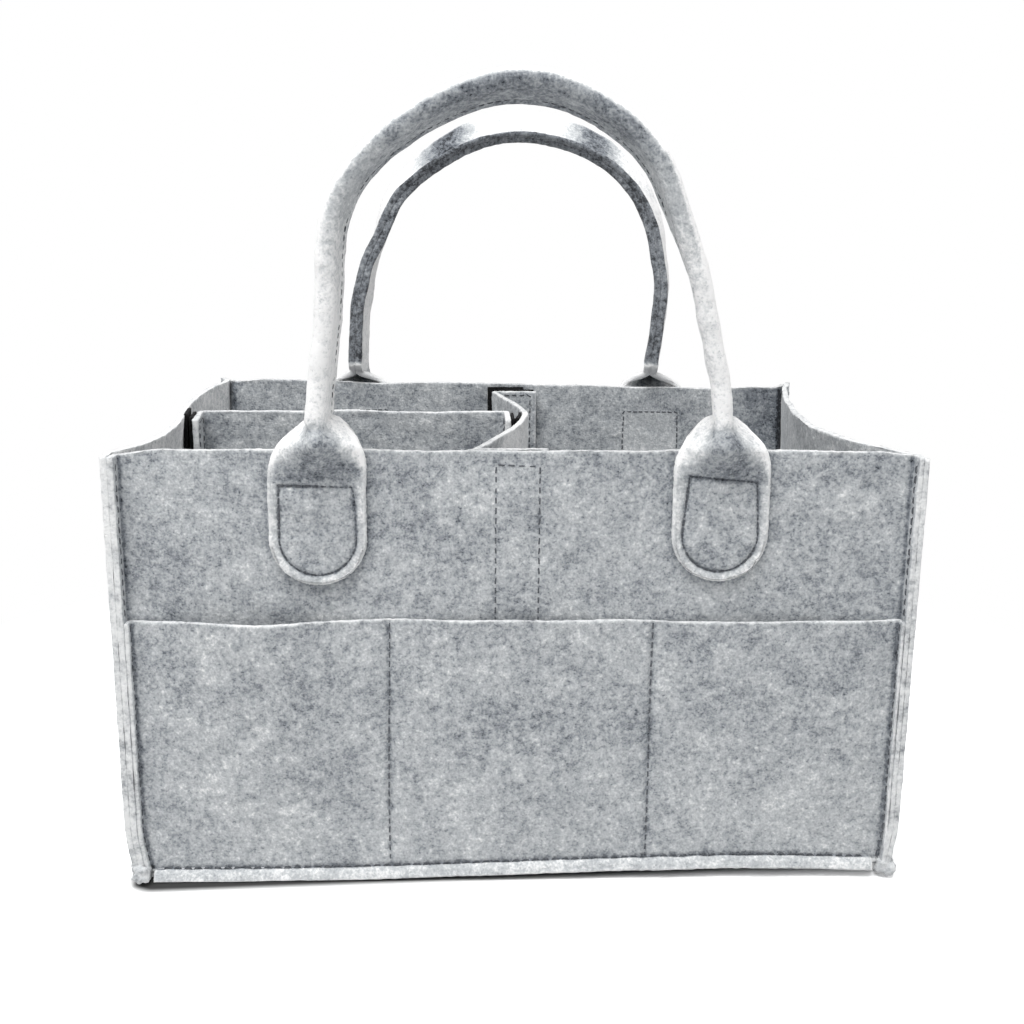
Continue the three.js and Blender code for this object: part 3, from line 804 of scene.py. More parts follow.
@dataclass
class Workshop:
    """Makes Blender objects out of shapes and dresses them."""

    finishes: dict[Slot, bpy.types.Material] = field(default_factory=dict)

    def piece(
        self,
        name: str,
        slot: Slot,
        shapes: Sequence[Shape],
        body: str | None,
        stands_for: Sequence[str] = (),
        cut: Cut | None = None,
    ) -> bpy.types.Object:
        """Makes one piece.

        Args:
            name: the piece's name.
            slot: the finish that it takes.
            shapes: the closed shapes that it is made of.
            body: the CAD body that it rides on, or None if it rides on none.
            stands_for: the CAD nodes that it replaces.
            cut: what it is cut as, if it is a sheet; not used.

        Returns:
            The piece.
        """
        shape = Shape.joined(shapes)
        mesh = bpy.data.meshes.new(name)
        mesh.from_pydata(shape.places * MM, [], shape.faces)
        for kind, values in (("cut", shape.cut), ("pale", shape.pale)):
            made = mesh.attributes.new(kind, "FLOAT", "POINT")
            made.data.foreach_set("value", values.astype(np.float32))
        mesh.polygons.foreach_set("use_smooth", np.ones(len(mesh.polygons), bool))
        mesh.materials.append(self.finishes[slot])
        made = bpy.data.objects.new(name, mesh)
        bpy.context.scene.collection.objects.link(made)
        if body:
            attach(made, body)
        if stands_for:
            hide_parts(*stands_for)
        LOG.info("%s: %d faces on %s", name, len(mesh.polygons), body or "two bodies")
        return made


@dataclass
class Walls:
    """The bottom, the four walls with their outward margins, and the tapes sewn on them."""

    shop: Workshop
    felt: float = 2.8
    half_width: float = 165
    face_y: float = 110
    rim_z: float = 183
    low_z: float = 3.3
    corner_margin: float = 6.4
    bottom_margin: float = 4.4
    bend: float = 1.9
    rim_rise: float = 1.9
    wave: float = 0.55
    wave_length: float = 120
    bow_power: float = 1.2
    tape: float = 1.6
    tape_middle_x: float = -0.5
    tape_width: float = 20
    tape_z: tuple[float, float] = (84.6, 181.6)
    tape_seam_z: float = 178.6
    left_tape_y: tuple[float, float] = (-4.5, 15.5)
    stacks: tuple = (
        ((162.7, 2.6), (160.15, 2.5), (158.0, 1.8)),
        ((161.9, 2.2), (159.8, 2.0), (158.1, 1.4)),
    )
    flares: tuple[float, float] = (4.4, 2.8)
    taper: float = 2.4
    tab_half: float = 19.5
    tab_shade: float = 0.4
    # painted highlight on the left and right walls' inner faces
    side_highlight: tuple[float, float] = (0.7, 0.2)
    fold_z: float = 3.85
    fold_felt: float = 1.9
    fold_short: float = 4.5
    bunches: tuple = (
        ((-158.0, -116.0, 4.6), (3.9, 4.2, 3.8), 57),
        ((158.8, -114.4, 4.6), (4.4, 4.0, 3.8), 61),
        ((-163.4, 113.4, 4.6), (4.4, 4.0, 4.0), 59),
        ((163.4, 113.4, 4.6), (4.4, 4.0, 4.0), 63),
    )
    lift: tuple = (
        (-165, -1.2), (-80, -1.1), (0, 1.15), (80, 3.2), (110, 3.3), (150, 2.2), (165, 2.0),
    )  # fmt: skip
    right_bow: tuple = (
        (-107, 0), (-99, 6.5), (-85, 13.6), (-68, 18.6), (-50, 22.8), (-25, 24.8), (12, 22.4),
        (33, 19.5), (75, 11.5), (98, 4.2), (107, 0),
    )  # fmt: skip
    left_bow: tuple = (
        (-107, 0), (-95, 6.6), (-78, 10.4), (-52, 11.3), (-32, 9.6), (-15, 6.9), (-4, 5.0),
        (10, 3.1), (25, 1.4), (42, 0.2), (66, 0.8), (86, 1.6), (107, 1.4),
    )  # fmt: skip
    back_rim: tuple = (
        (-160, 2.0), (-145, 1.0), (-110, 0.2), (-71, -0.4), (-37, -0.3), (31, -1.3), (70, -2.4),
        (100, -2.9), (130, -2.6), (150, -0.8), (160, 0.8),
    )  # fmt: skip

    def ripple(self, side: Side, x: Array, z: Array) -> Array:
        """How far a long wall waves outwards.

        Args:
            side: which wall.
            x: places along it.
            z: heights.

        Returns:
            The distance outwards at each place, in mm.
        """
        x, z = np.broadcast_arrays(x, z)
        points = np.stack([x, np.full(x.shape, side.value * 50.0), z], -1)
        fade = np.clip((152 - np.abs(x)) / 30, 0, 1) * np.clip((z - 10) / 40, 0, 1)
        return self.wave * fade * waves(points, self.wave_length, 5)

    def bow(self, way: int, y: Array, z: Array) -> Array:
        """How far a side panel bows inwards, the right one if way is 1."""
        depth = curve(self.right_bow if way > 0 else self.left_bow, y)
        splay = ease(y, 80, 107) * self.splay_left(y)
        depth = np.where(np.abs(y) >= 107, depth * (y > 0), depth) + self.flares[way > 0] * splay
        return depth * self.raised(z)

    def splay_left(self, y: Array) -> Array:
        """How much of a back corner's splay is left at a y."""
        ends = (self.face_y, self.face_y + self.corner_margin)
        return np.interp(np.abs(y), ends, (1, 0.1))

    def raised(self, z: Array) -> Array:
        """How much of the rim's bow there is at a height."""
        return np.clip((z - 6) / (self.rim_z - 6), 0, 1) ** self.bow_power

    def flared(self, x: Array, y: Array, z: Array) -> Array:
        """Places along x, drawn in where a back corner's margins splay outwards."""
        amount = np.where(x < 0, self.flares[0] + 1.4, self.flares[1])
        splay = self.splay_left(y) * ease(np.abs(x), 100, 152)
        return x - np.sign(x) * amount * splay * self.raised(z)

    def pressed(self, walked: Array, turn: float, layer: int) -> Array:
        """How much thinner a sheet's front corner margins are, pressed by their seams.

        Args:
            walked: lengths along the sheet's line in plan, from one margin's end.
            turn: the length at which the margin ends.
            layer: which layer of the stack it is, from outside.

        Returns:
            The difference in thickness at each place.
        """
        left, right = (stack[layer][1] for stack in self.stacks)
        full = self.felt if layer < 2 else 2.0
        near, far = ease(turn - walked, -0.5, 1.5), ease(walked - walked[-1] + turn, -0.5, 1.5)
        return (full - left) * near + (full - right) * far

    def tapered(self, x: Array, z: Array) -> Array:
        """Places along x, drawn in towards the bag's lower corners."""
        near = ease(np.abs(x), 148, 155) * (1 - ease(z, 0, 28))
        return x - np.sign(x) * self.taper * near

    def settled(self, x: Array) -> Array:
        """How far the front's lower edge stands higher or lower than it would lie flat."""
        return curve(self.lift, x)

    def outer_y(self, side: Side, x: Array, z: Array) -> Array:
        """The y of a long wall's outer face."""
        return side.value * (self.face_y + self.ripple(side, x, z))

    def tape_press(self, x: Array, z: Array) -> Array:
        """How much thinner a long wall is where a tape is sewn through it."""
        half = self.tape_width / 2 - 1.6
        line = np.abs(np.abs(x - self.tape_middle_x) - half)
        beside = peak(line, 1.1) * (z < self.rim_z - 3)
        top = peak(z - self.tape_seam_z, 1.1) * (np.abs(x - self.tape_middle_x) < half + 1)
        return 0.7 * np.maximum(beside, top)

    def long_wall(self, side: Side) -> list[Shape]:
        """The front or back wall and its bottom margin."""
        edge = self.half_width - self.felt * 1.5 - GAP
        front = side is Side.FRONT
        left, right = (stack[1][0] if front else edge for stack in self.stacks)
        y = self.face_y - self.felt / 2
        end = self.face_y + self.corner_margin
        line = rounded(np.array([(-left, end), (-left, y), (right, y), (right, end)]), self.bend)
        total = lengths(line)[-1]
        turn = end - y
        step = 1.8 if front else 2.6
        columns = walk(line, stations(total, step, (turn, 3.5, 0.7), (total - turn, 3.5, 0.7)))
        rows = self.low_z + stations(self.rim_z - self.low_z, step + 0.2)
        x = np.broadcast_to(columns[:, 0], (len(rows), len(columns)))
        z = np.broadcast_to(rows[:, None], x.shape)
        out = columns[:, 1] + self.ripple(side, x, z)
        lift = 0.35 * waves(along_x(x), 45, 3 + side.value)
        lift = lift + self.rim_rise * (1 - ease(np.abs(x), 140, 160))
        lift = lift if front else lift + curve(self.back_rim, x)
        height = z + lift * (z / self.rim_z) ** 4
        across = self.tapered(x, z) if front else self.flared(x, out, z)
        middle = np.stack([across, side.value * out, height], -1)
        walked = lengths(columns)
        thickness = self.felt - self.tape_press(x, z)
        thickness = thickness - (self.pressed(walked, turn, 1) if front else 0.0)
        # pale: painted shade in the creases where the margins bend out, plus the marks from tones
        pale = -crease_shade(walked, turn, total) * np.ones((len(rows), 1))
        pale = pale + self.tones(side, x, z)
        wall = cloth(middle, thickness, 0.3, 0.1, 10 + side.value, pale)
        reach = self.bottom_margin - (1.8 if front else 0)
        margin = self.margin(
            np.array([(y - 0.1, 10.0), (y - 0.1, self.fold_z), (self.face_y + reach, self.fold_z)]),
            edge - self.fold_short,
            self.felt,
            self.fold_felt,
            20 + side.value,
        )
        margin.places = margin.places * np.array([1, side.value, 1])
        if front:
            margin.places[:, 2] += np.maximum(self.settled(margin.places[:, 0]), 0)
        return [wall, margin.outward()]

    def tones(self, side: Side, x: Array, z: Array) -> Array:
        """How much paler or darker a long wall is painted in places, the darker marks being painted
        shade.

        Args:
            side: which wall.
            x: places along it.
            z: heights.

        Returns:
            The pale values: darker beside a front tab as a painted shadow, darker in the back's
                right
            corner as painted shade, paler inside a back tab's seam.
        """
        pale = np.zeros(x.shape)
        spots = FRONT_TABS if side is Side.FRONT else BACK_TABS
        for at, low in spots:
            out = np.hypot(x - at, np.minimum(z - low - self.tab_half, 0)) - self.tab_half
            if side is Side.FRONT:
                # painted shadow round a front tab
                pale = pale - self.tab_shade * peak(np.maximum(out, 0), 2.6)
            else:
                pale = pale + 0.3 * (1 - ease(out, -5.0, -4.0)) * (z < 168.5)
        if side is Side.BACK:
            # painted shade in the back wall's right corner
            pale = pale - 0.55 * ease(x, 112, 152) * ease(z, 60, 120)
        return pale

    def margin(
        self,
        corners: Array,
        half: float,
        wall: float,
        thickness: float,
        seed: int,
        pale: tuple[float, float] = (0.0, 0.0),
    ) -> Shape:
        """A bottom margin bent outwards, whose upper end lies hidden in its wall.

        Args:
            corners: its line in outward distance and height.
            half: half of its length.
            wall: the thickness of the wall that it grows out of.
            thickness: its own thickness, pressed by the seam.
            seed: which noise.
            pale: the light or shade painted on it in the crease and beyond it.

        Returns:
            The margin, for a wall that faces along +y.
        """
        line = rounded(corners, 1.5)
        total = lengths(line)[-1]
        path = walk(line, stations(total, 1.2))
        x = stations(2 * half, 2.4) - half
        places = np.stack(np.broadcast_arrays(x, path[:, :1], path[:, 1:]), -1)
        wander = waves(places * np.array([1, 0, 0]), 38, seed) * 0.22
        places[..., 1] += wander * ease(path[:, :1], path[0, 0], path[-1, 0])
        grown = ease(lengths(path), total * 0.4, total * 0.8)[:, None]
        sheet = 0.4 * wall + (thickness - 0.4 * wall) * grown
        beyond = ease(path[:, :1], corners[0, 0] + 0.9, corners[0, 0] + 2.4)
        # painted light: one value in the crease, another beyond it
        tone = (pale[0] + (pale[1] - pale[0]) * beyond) * np.ones(len(x))
        return cloth(places, sheet * np.ones(len(x)), 0.6, 0.1, seed, tone)

    def side_wall(self, way: int) -> list[Shape]:
        """The right wall if way is 1, or the left one, and its bottom margin."""
        reach = self.face_y + self.corner_margin
        y = stations(2 * reach, 2.4) - reach
        rows = self.low_z + stations(self.rim_z - self.low_z, 2.4)
        yy, zz = np.meshgrid(y, rows)
        at, pressed = self.stacks[way > 0][0]
        out = self.half_width - self.felt / 2
        x = out - self.bow(way, yy, zz) - (out - at) * ease(-yy, 103.5, 110.5)
        thickness = self.felt - (self.felt - pressed) * ease(-yy, 105, 110.5)
        x = np.abs(self.tapered(x, zz)) * (np.abs(yy) > 104) + x * (np.abs(yy) <= 104)
        points = np.stack([x * 0 + way * 90, yy, zz], -1)
        inner = np.clip((104 - np.abs(yy)) / 30, 0, 1) * np.clip(zz / 60, 0, 1)
        x = x + 0.5 * inner * waves(points, 95, 31)
        lift = 0.35 * waves(np.stack([x * 0, yy, x * 0], -1), 40, 33 + way)
        lift = lift + (2.4 if way < 0 else 0.9) * ease(yy, 50, 107)
        middle = np.stack([way * x, yy, zz + lift * (zz / self.rim_z) ** 6], -1)
        # painted highlight on the wall's inner face, growing towards the rim
        inner_highlight = self.side_highlight[way > 0] * ease(zz, 90, 150)
        wall = cloth(middle, thickness, 0.3, 0.1, 40 + way, inner_highlight)
        lit_one_way(wall, middle, (-way, 0, 0))
        reach = self.half_width + self.bottom_margin
        corners = np.array([(out, 10.0), (out, self.fold_z), (reach, self.fold_z)])
        margin = self.margin(corners, self.face_y - 1, self.felt, self.fold_felt, 44 + way)
        squeeze = 0.85 * ease(np.abs(margin.places[:, 0]), 84, 104)
        margin.places[:, 1] -= squeeze * np.maximum(margin.places[:, 1] - out, 0)
        turned = margin.places[:, [1, 0, 2]] * np.array([way, 1, 1])
        return [wall, Shape(turned, margin.faces, margin.cut).outward()]

    def bottom(self) -> list[Shape]:
        """The bottom sheet and the bunched felt at its four corners."""
        half_x = self.half_width + self.bottom_margin
        half_y = self.face_y + self.bottom_margin
        x = stations(2 * half_x, 3.2) - half_x
        y = stations(2 * half_y, 3.2) - half_y
        xx, yy = np.meshgrid(x, y)
        front = ease(-yy, 96, 112)
        yy = yy + 2.2 * front
        rise = np.maximum(self.settled(xx), 0) * front
        xx = xx * (1 - 0.045 * ease(np.abs(yy), 84, 106))
        sheet = np.stack([xx, yy, self.felt / 2 + 0.05 + rise], -1)
        bunches = [lump(*bunch) for bunch in self.bunches]
        return [cloth(sheet, self.felt - 0.15, 0.7, 0.06, 50), *bunches]

    def tape_sheet(self, x: Array, y: Array, z: Array, seed: int) -> Shape:
        """A tape whose middle surface goes through a grid of places."""
        grid = np.stack(np.broadcast_arrays(x, y, z), -1)
        return cloth(grid, self.tape, 0.4, 0.08, seed)

    def sew_tape(self, name: str, shape: Shape, body: str, node: str, felt: str) -> None:
        """Makes a piece of hook-and-loop tape.

        Args:
            name: the piece's name.
            shape: its closed shape.
            body: the CAD body that it rides on.
            node: the CAD node that it replaces.
            felt: the piece that it is sewn on.
        """
        cut = Cut(self.tape_width, self.tape_z[1] - self.tape_z[0], (felt,))
        self.shop.piece(name, Slot.TAPE, [shape], body, [node], cut)

    def wall_tape(self, side: Side) -> Shape:
        """The tape inside a long wall."""
        half = self.tape_width / 2
        x = self.tape_middle_x + stations(self.tape_width, 2) - half
        z = self.tape_z[0] + stations(self.tape_z[1] - self.tape_z[0], 2.4)
        z = z + (0.9 if side is Side.BACK else 0.0)
        xx, zz = np.meshgrid(x, z)
        depth = self.face_y - self.felt - GAP - self.tape / 2 + self.ripple(side, xx, zz)
        return self.tape_sheet(xx, side.value * depth, zz, 70)

    def left_tape(self) -> Shape:
        """The tape inside the left wall."""
        y = self.left_tape_y[0] + stations(self.tape_width, 2)
        z = self.tape_z[0] + stations(self.tape_z[1] + 1.6 - self.tape_z[0], 2.4)
        yy, zz = np.meshgrid(y, z)
        x = self.half_width - self.felt - 2 * GAP - self.tape / 2 - self.bow(-1, yy, zz)
        return self.tape_sheet(-x, yy, zz, 71)

    def build(self) -> None:
        """Makes the walls, the bottom and their tapes."""
        shop = self.shop
        across, deep = 2 * self.half_width, 2 * self.face_y
        tall = self.rim_z + self.bottom_margin
        margins = 2 * self.bottom_margin
        floor_cut = Cut(across + margins, deep + margins, (), Held.LAID)
        shop.piece("bottom_felt", Slot.FELT, self.bottom(), "bag", ["bottom_panel"], floor_cut)
        for side, end in ENDS:
            name, cut = f"{end}_wall_felt", Cut(across + self.corner_margin, tall, ("bottom_felt",))
            shop.piece(name, Slot.FELT, self.long_wall(side), "bag", [f"{end}_panel"], cut)
            tape = self.wall_tape(side)
            self.sew_tape(f"{end}_loop_tape", tape, "bag", f"{end}_wall_tape", name)
        for way, hand in HANDS:
            name = f"{hand}_wall_felt"
            cut = Cut(deep + 2 * self.corner_margin, tall, ("bottom_felt",))
            shop.piece(name, Slot.FELT, self.side_wall(way), "bag", [f"{hand}_side_panel"], cut)
        tape = self.left_tape()
        self.sew_tape("left_loop_tape", tape, "bag", "left_wall_tape", "left_wall_felt")


@dataclass
class Pockets:
    """The pocket sheets on the front and back, sewn down along two lines into three pockets."""

    shop: Workshop
    walls: Walls
    felt: float = 2.0
    top_z: float = 115
    low_z: float = 4.9
    seams: tuple[float, float] = (-53.2, 55.4)
    gapes: tuple[float, float, float] = (6.0, 2.6, 3.2)

    def gape(self, x: Array, z: Array) -> Array:
        """How far a pocket stands off the wall.

        Args:
            x: places along the wall.
            z: heights.

        Returns:
            The distance at each place, in mm.
        """
        half = self.walls.half_width - 8.2
        stops = np.array([-half, *self.seams, half])
        pocket = np.clip(np.searchsorted(stops, x) - 1, 0, 2)
        across = np.clip((x - stops[pocket]) / (stops[pocket + 1] - stops[pocket]), 0, 1)
        belly = np.sin(math.pi * across) ** 1.3
        up = np.clip((z - 12) / (self.top_z - 12), 0, 1)
        depth = np.array(self.gapes)[pocket]
        return depth * belly * (0.35 * np.sin(math.pi * up) + up**1.6)

    def seam_press(self, x: Array) -> Array:
        """How much thinner the sheet is along its dividing seams."""
        near = np.min([np.abs(x - seam) for seam in self.seams], axis=0)
        return 0.8 * peak(near, 1.5)

    def outer_y(self, side: Side, x: Array, z: Array) -> Array:
        """The y of the pocket sheet's outer face."""
        base = self.walls.face_y + GAP + self.felt - self.seam_press(x) * 0.7
        return side.value * (base + self.gape(x, z) + self.walls.ripple(side, x, z))

    def sheet(self, side: Side) -> list[Shape]:
        """The pocket sheet with its side margins, and its bottom margin."""
        walls = self.walls
        edge = walls.half_width - 2 * walls.felt - 2 * GAP - self.felt / 2
        front = side is Side.FRONT
        left, right = (stack[2][0] if front else edge for stack in walls.stacks)
        y = walls.face_y + GAP + self.felt / 2
        out = walls.face_y + walls.corner_margin - 0.4
        line = rounded(np.array([(-left, out), (-left, y), (right, y), (right, out)]), 1.5)
        total = lengths(line)[-1]
        turn = out - y
        middle_at = [turn + left + seam for seam in self.seams]
        step = 1.8 if front else 2.8
        fine = [(turn, 3, 0.6), (total - turn, 3, 0.6)] + [(at, 3, 0.6) for at in middle_at]
        columns = walk(line, stations(total, step, *fine))
        rows = self.low_z + stations(self.top_z - self.low_z, step)
        x = np.broadcast_to(columns[:, 0], (len(rows), len(columns)))
        z = np.broadcast_to(rows[:, None], x.shape)
        press = self.seam_press(x)
        off = columns[:, 1] + self.gape(x, z) + walls.ripple(side, x, z) - press * 0.4
        lift = 0.3 * waves(along_x(x), 40, 8 + side.value)
        height = z + lift * (z / self.top_z) ** 6
        across = walls.flared(x, off, z)
        walked = lengths(columns)
        thickness = self.felt - press * 0.6
        if front:
            height = height + walls.settled(x) * (1 - ease(z, 8, 60))
            across = walls.tapered(x, z) * (x < 0) + x * (x >= 0)
            thickness = thickness - walls.pressed(walked, turn, 2)
        middle = np.stack([across, side.value * off, height], -1)
        # painted light from the floor, paler towards the bottom; painted shade in the creases, in
        # the valley above the bottom margin and along the dividing seams
        pale = 0.16 * (1 - ease(z, 10, 80)) - crease_shade(walked, turn, total)
        pale = pale - 0.6 * (1 - ease(z, 5, 8.5)) - 0.5 * press * (np.abs(x) < 90)
        sheet = cloth(middle, thickness, 0.45, 0.1, 80 + side.value, pale)
        end = walls.face_y + walls.bottom_margin + GAP
        corners, tones = np.array([(y, 12.0), (y, 5.35), (end, 5.35)]), (0.0, 0.0)
        if front:
            corners = np.array([(y, 12.0), (y, 5.4), (y + 2.8, 5.2), (y + 4.4, 1.2)])
            # painted shade in the margin's crease, painted highlight on its lit strip beyond
            tones = (-0.9, 0.5)
        half = edge - walls.fold_short
        margin = walls.margin(corners, half, self.felt, 1.5, 84 + side.value, tones)
        margin.places = margin.places * np.array([1, side.value, 1])
        if front:
            low = margin.places[:, 2] + walls.settled(margin.places[:, 0])
            margin.places[:, 2] = np.maximum(low, 0.15 + 0.1 * margin.places[:, 2])
        return [sheet, margin.outward()]

    def build(self) -> None:
        """Makes both pocket sheets."""
        for side, end in ENDS:
            shapes = self.sheet(side)
            cut = Cut(2 * self.walls.half_width, self.top_z, (f"{end}_wall_felt",))
            self.shop.piece(f"{end}_pocket_felt", Slot.FELT, shapes, "bag", [f"{end}_pocket"], cut)


@dataclass
class Handle:
    """A carry handle: one felt strap, flat and sewn down at both ends, folded between them."""

    shop: Workshop
    walls: Walls
    side: Side
    name: str
    knots: tuple
    roll: float
    tabs: tuple[tuple[float, float], tuple[float, float]]
    stitch_tops: tuple[tuple[float, float], tuple[float, float]]
    shoulder: tuple[float, float]
    width: float = 39.0
    fold_radius: float = 2.6
    full_fold: float = math.radians(187)
    turn: float = math.radians(10)
    lean: float = math.radians(5)
    neck_z: float = 197.3
    hinge_z: float = 207.1
    seam_inset: float = 4.0
    stitch_inset: float = 4.1
    inward: tuple = ((0.4, 1.0), (2.3, 1.3))
    tab_step: float = 0.8
    groove: float = 0.95
    sunk: float = 1.7
    bead: float = 0.5
    proud: float = 0.25
    opening: float = 1.77
    raw_edge: float = 0.15
    # light and shade painted on the strap: highlights on the legs, shade on the folded raw edges,
    # highlights on the puffed borders, shade in the seam grooves and in the hollow under the neck
    leg_highlight: float = 0.95
    raw_shade: float = 0.75
    bead_highlight: float = 0.55
    seam_shade: float = 1.0
    hollow_shade: float = 0.4
    hollow_off: tuple[float, float] = (0.25, 0.05)
    arch_middle: float = 235.0
    # painted highlight on a tab's cheeks below the neck
    cheek_highlight: float = 0.8
    # the front handle's shadows painted on the back arch: places and widths along x
    cast_shadows: tuple = ((-34, 13), (48, 11))
    blend_reach: float = 15

    def columns(self) -> Array:
        """Places across the flat strap, closer at the fold."""
        half = self.width / 2
        places = stations(self.width, self.tab_step) - half
        seam = half - self.seam_inset
        for target in (-seam, seam):
            places[np.abs(places - target).argmin()] = target
        return places

    def section(self, across: Array, fold: float) -> tuple[Array, Array]:
        """The strap's middle line in its own section.

        Args:
            across: places across the flat strap.
            fold: how far it is folded, in radians.

        Returns:
            Places sideways and deep, the depth being measured from the strap's middle.
        """
        flat = min(self.fold_radius * fold / 2, self.width / 2)
        turned = np.clip(across, -flat, flat) / self.fold_radius
        beyond = across - np.clip(across, -flat, flat)
        side = self.fold_radius * np.sin(turned) + beyond * np.cos(fold / 2)
        deep = self.fold_radius * (1 - np.cos(turned)) + np.abs(beyond) * math.sin(fold / 2)
        return side, deep - deep.max() / 2

    def arch(self) -> Array:
        """The handle's middle line from neck to neck, as x and z."""
        return smooth_line(np.array(self.knots, float), 2.4)

    def tab_rows(self, way: int) -> list[dict]:
        """Stations of a tab from above its round end up to the neck.

        Args:
            way: -1 for the left tab and 1 for the right one.

        Returns:
            The stations, from the bottom up.
        """
        x, low = self.tabs[way > 0]
        leg = self.knots[0] if way < 0 else self.knots[-1]
        start, end = self.shoulder
        rows = []
        for z in np.arange(low + self.width / 2 + self.tab_step, self.neck_z - 1, self.tab_step):
            share = float(np.clip((z - start) / (end - start), 0, 1)) ** self.opening
            fold = self.full_fold * share
            flat_y = self.walls.face_y + GAP + self.walls.felt / 2
            wall = float(self.walls.ripple(self.side, np.array(x), np.array(z)))
            clear = float(ease(np.array(z), self.walls.rim_z + 1, self.neck_z - 1))
            depth = self.section(np.array([self.width / 2]), fold)[1][0]
            y = (flat_y + wall * (1 - share) + depth) * (1 - clear) + self.walls.face_y * clear
            middle_x = x + (leg[0] - x) * float(ease(np.array(z), start - 6, self.neck_z))
            turn = self.turn * share
            deep = -self.side.value * np.array([math.sin(turn), math.cos(turn), 0])
            place = np.array([middle_x, self.side.value * y, z])
            rows.append({"place": place, "deep": deep, "fold": fold, "up": np.array([0, 0, 1.0])})
        return rows

    def arch_rows(self) -> list[dict]:
        """Stations of the folded strap from the left neck over the arch to the right neck."""
        line = self.arch()
        tangent = unit(np.gradient(line, axis=0))
        low = self.hinge_z + 25
        top = line[:, 1].max()
        tilt = -self.side.value * self.lean
        rows = []
        for (x, z), (ax, az) in zip(line, tangent):
            raised = np.clip((z - low) / (top - low), 0, 1)
            roll = math.radians(self.roll) * raised**1.4
            turn = self.turn * (1 - raised)
            along = np.array([ax, 0, az])
            under = np.array([az, 0, -ax])
            base = -self.side.value * np.array([math.sin(turn), math.cos(turn), 0])
            base = unit(base - along * (base @ along))
            deep = base * math.cos(roll) + under * math.sin(roll)
            up = z - self.hinge_z
            lean = np.clip(up / 12, 0, 1) * up
            place = np.array(
                [
                    x,
                    self.side.value * self.walls.face_y - math.sin(tilt) * lean,
                    self.hinge_z + up * math.cos(tilt),
                ]
            )
            spin = Matrix.Rotation(tilt * float(np.clip(up / 12, 0, 1)), 3, "X")
            deep = np.array(spin @ Vector(deep))
            along = np.array(spin @ Vector(along))
            rows.append({"place": place, "deep": deep, "fold": self.full_fold, "up": along})
        return rows

    def grid(self) -> Array:
        """The whole strap's middle surface, from the left tab's end to the right tab's end."""
        columns = self.columns()
        left = self.tab_rows(-1)
        right = [dict(row, up=-row["up"]) for row in reversed(self.tab_rows(1))]
        body = []
        for row in [*left, *self.arch_rows(), *right]:
            side, deep = self.section(columns, row["fold"])
            across = unit(np.cross(row["deep"], row["up"]))
            body.append(row["place"] + side[:, None] * across + deep[:, None] * row["deep"])
        ends = [self.round_end(way, columns) for way in (-1, 1)]
        return np.concatenate([ends[0], np.array(body), ends[1][::-1]])

    def round_end(self, way: int, columns: Array) -> Array:
        """The half-round end of a tab, from its edge up to where the strap has its full width."""
        x, low = self.tabs[way > 0]
        radius = self.width / 2
        u = columns / radius
        v = -1 + (stations(radius * 1.25, self.tab_step) / (radius * 1.25))
        uu, vv = np.meshgrid(u, v)
        px = uu * np.sqrt(1 - vv**2 / 2)
        pz = vv * np.sqrt(1 - uu**2 / 2)
        sign = -self.side.value * (1 if way < 0 else -1)
        xs = x + sign * px * radius
        zs = low + radius + pz * radius
        ys = self.walls.face_y + GAP + self.walls.felt / 2 + self.walls.ripple(self.side, xs, zs)
        return np.stack([xs, self.side.value * ys, zs], -1)

    def from_seam(self, middle: Array) -> Array:
        """How far each place of the flat tabs is from its seam, in mm, and 99 elsewhere."""
        far = np.full(middle.shape[:2], 99.0)
        for way in (-1, 1):
            path = self.tab_path(way)
            flat = (middle[..., 2] < self.walls.rim_z) & (middle[..., 0] * way > 0)
            spots = middle[flat][:, [0, 2]]
            far[flat] = np.linalg.norm(spots[:, None] - path[None, :, :], axis=2).min(1)
        return far

    def near_flank_seam(self, middle: Array) -> Array:
        """How near each place of the folded strap is to its long seam, from 0 to 1."""
        flank = np.abs(np.abs(self.columns()) - (self.width / 2 - self.seam_inset))
        folded = ease(middle[..., 2], self.neck_z - 2, self.neck_z + 4)
        return folded * peak(flank, 0.9)

    def beside_seam(self, middle: Array, far: Array) -> Array:
        """Where the puffed border outside a tab's seam is, from 0 to 1."""
        rim = np.zeros(middle.shape[:2])
        for way in (-1, 1):
            x, low = self.tabs[way > 0]
            own = middle[..., 0] * way > 0
            radius = self.width / 2 - self.stitch_inset
            centre = low + self.width / 2
            down = np.minimum(middle[..., 2] - centre, 0)
            out = np.hypot(middle[..., 0] - x, down) - radius
            rim = np.where(own, ease(out, 0.3, 1.6), rim)
        top = 1 - ease(middle[..., 2], min(self.stitch_tops[0]) - 4, max(self.stitch_tops[0]) + 8)
        return rim * top * (far < 98)

    def painted_shading(self, middle: Array, far: Array) -> Array:
        """The light and shade painted on the strap: painted highlights on the legs, cheeks and
        borders, painted shade in the seams, on the raw edges and in the hollow under the neck.
        """
        x, z = middle[..., 0], middle[..., 2]
        u = np.abs(self.columns()) / (self.width / 2)
        normal = grid_normals(middle)
        normal = normal * np.sign((normal[..., 1] * self.side.value).mean())
        leg = ease(z, self.neck_z - 6, self.neck_z + 4)
        raw = ease(np.abs(self.columns()), self.width / 2 - 1.8, self.width / 2 - 0.5)
        folded = ease(z, self.neck_z - 4, self.neck_z + 3)
        around = unit(np.stack([x, 0 * x, z - self.arch_middle], -1))
        outward = (normal * around).sum(-1)
        shown = ease(-normal[..., 1], -0.3, 0.2)
        tone = self.arch_shading(x, z, outward, shown)
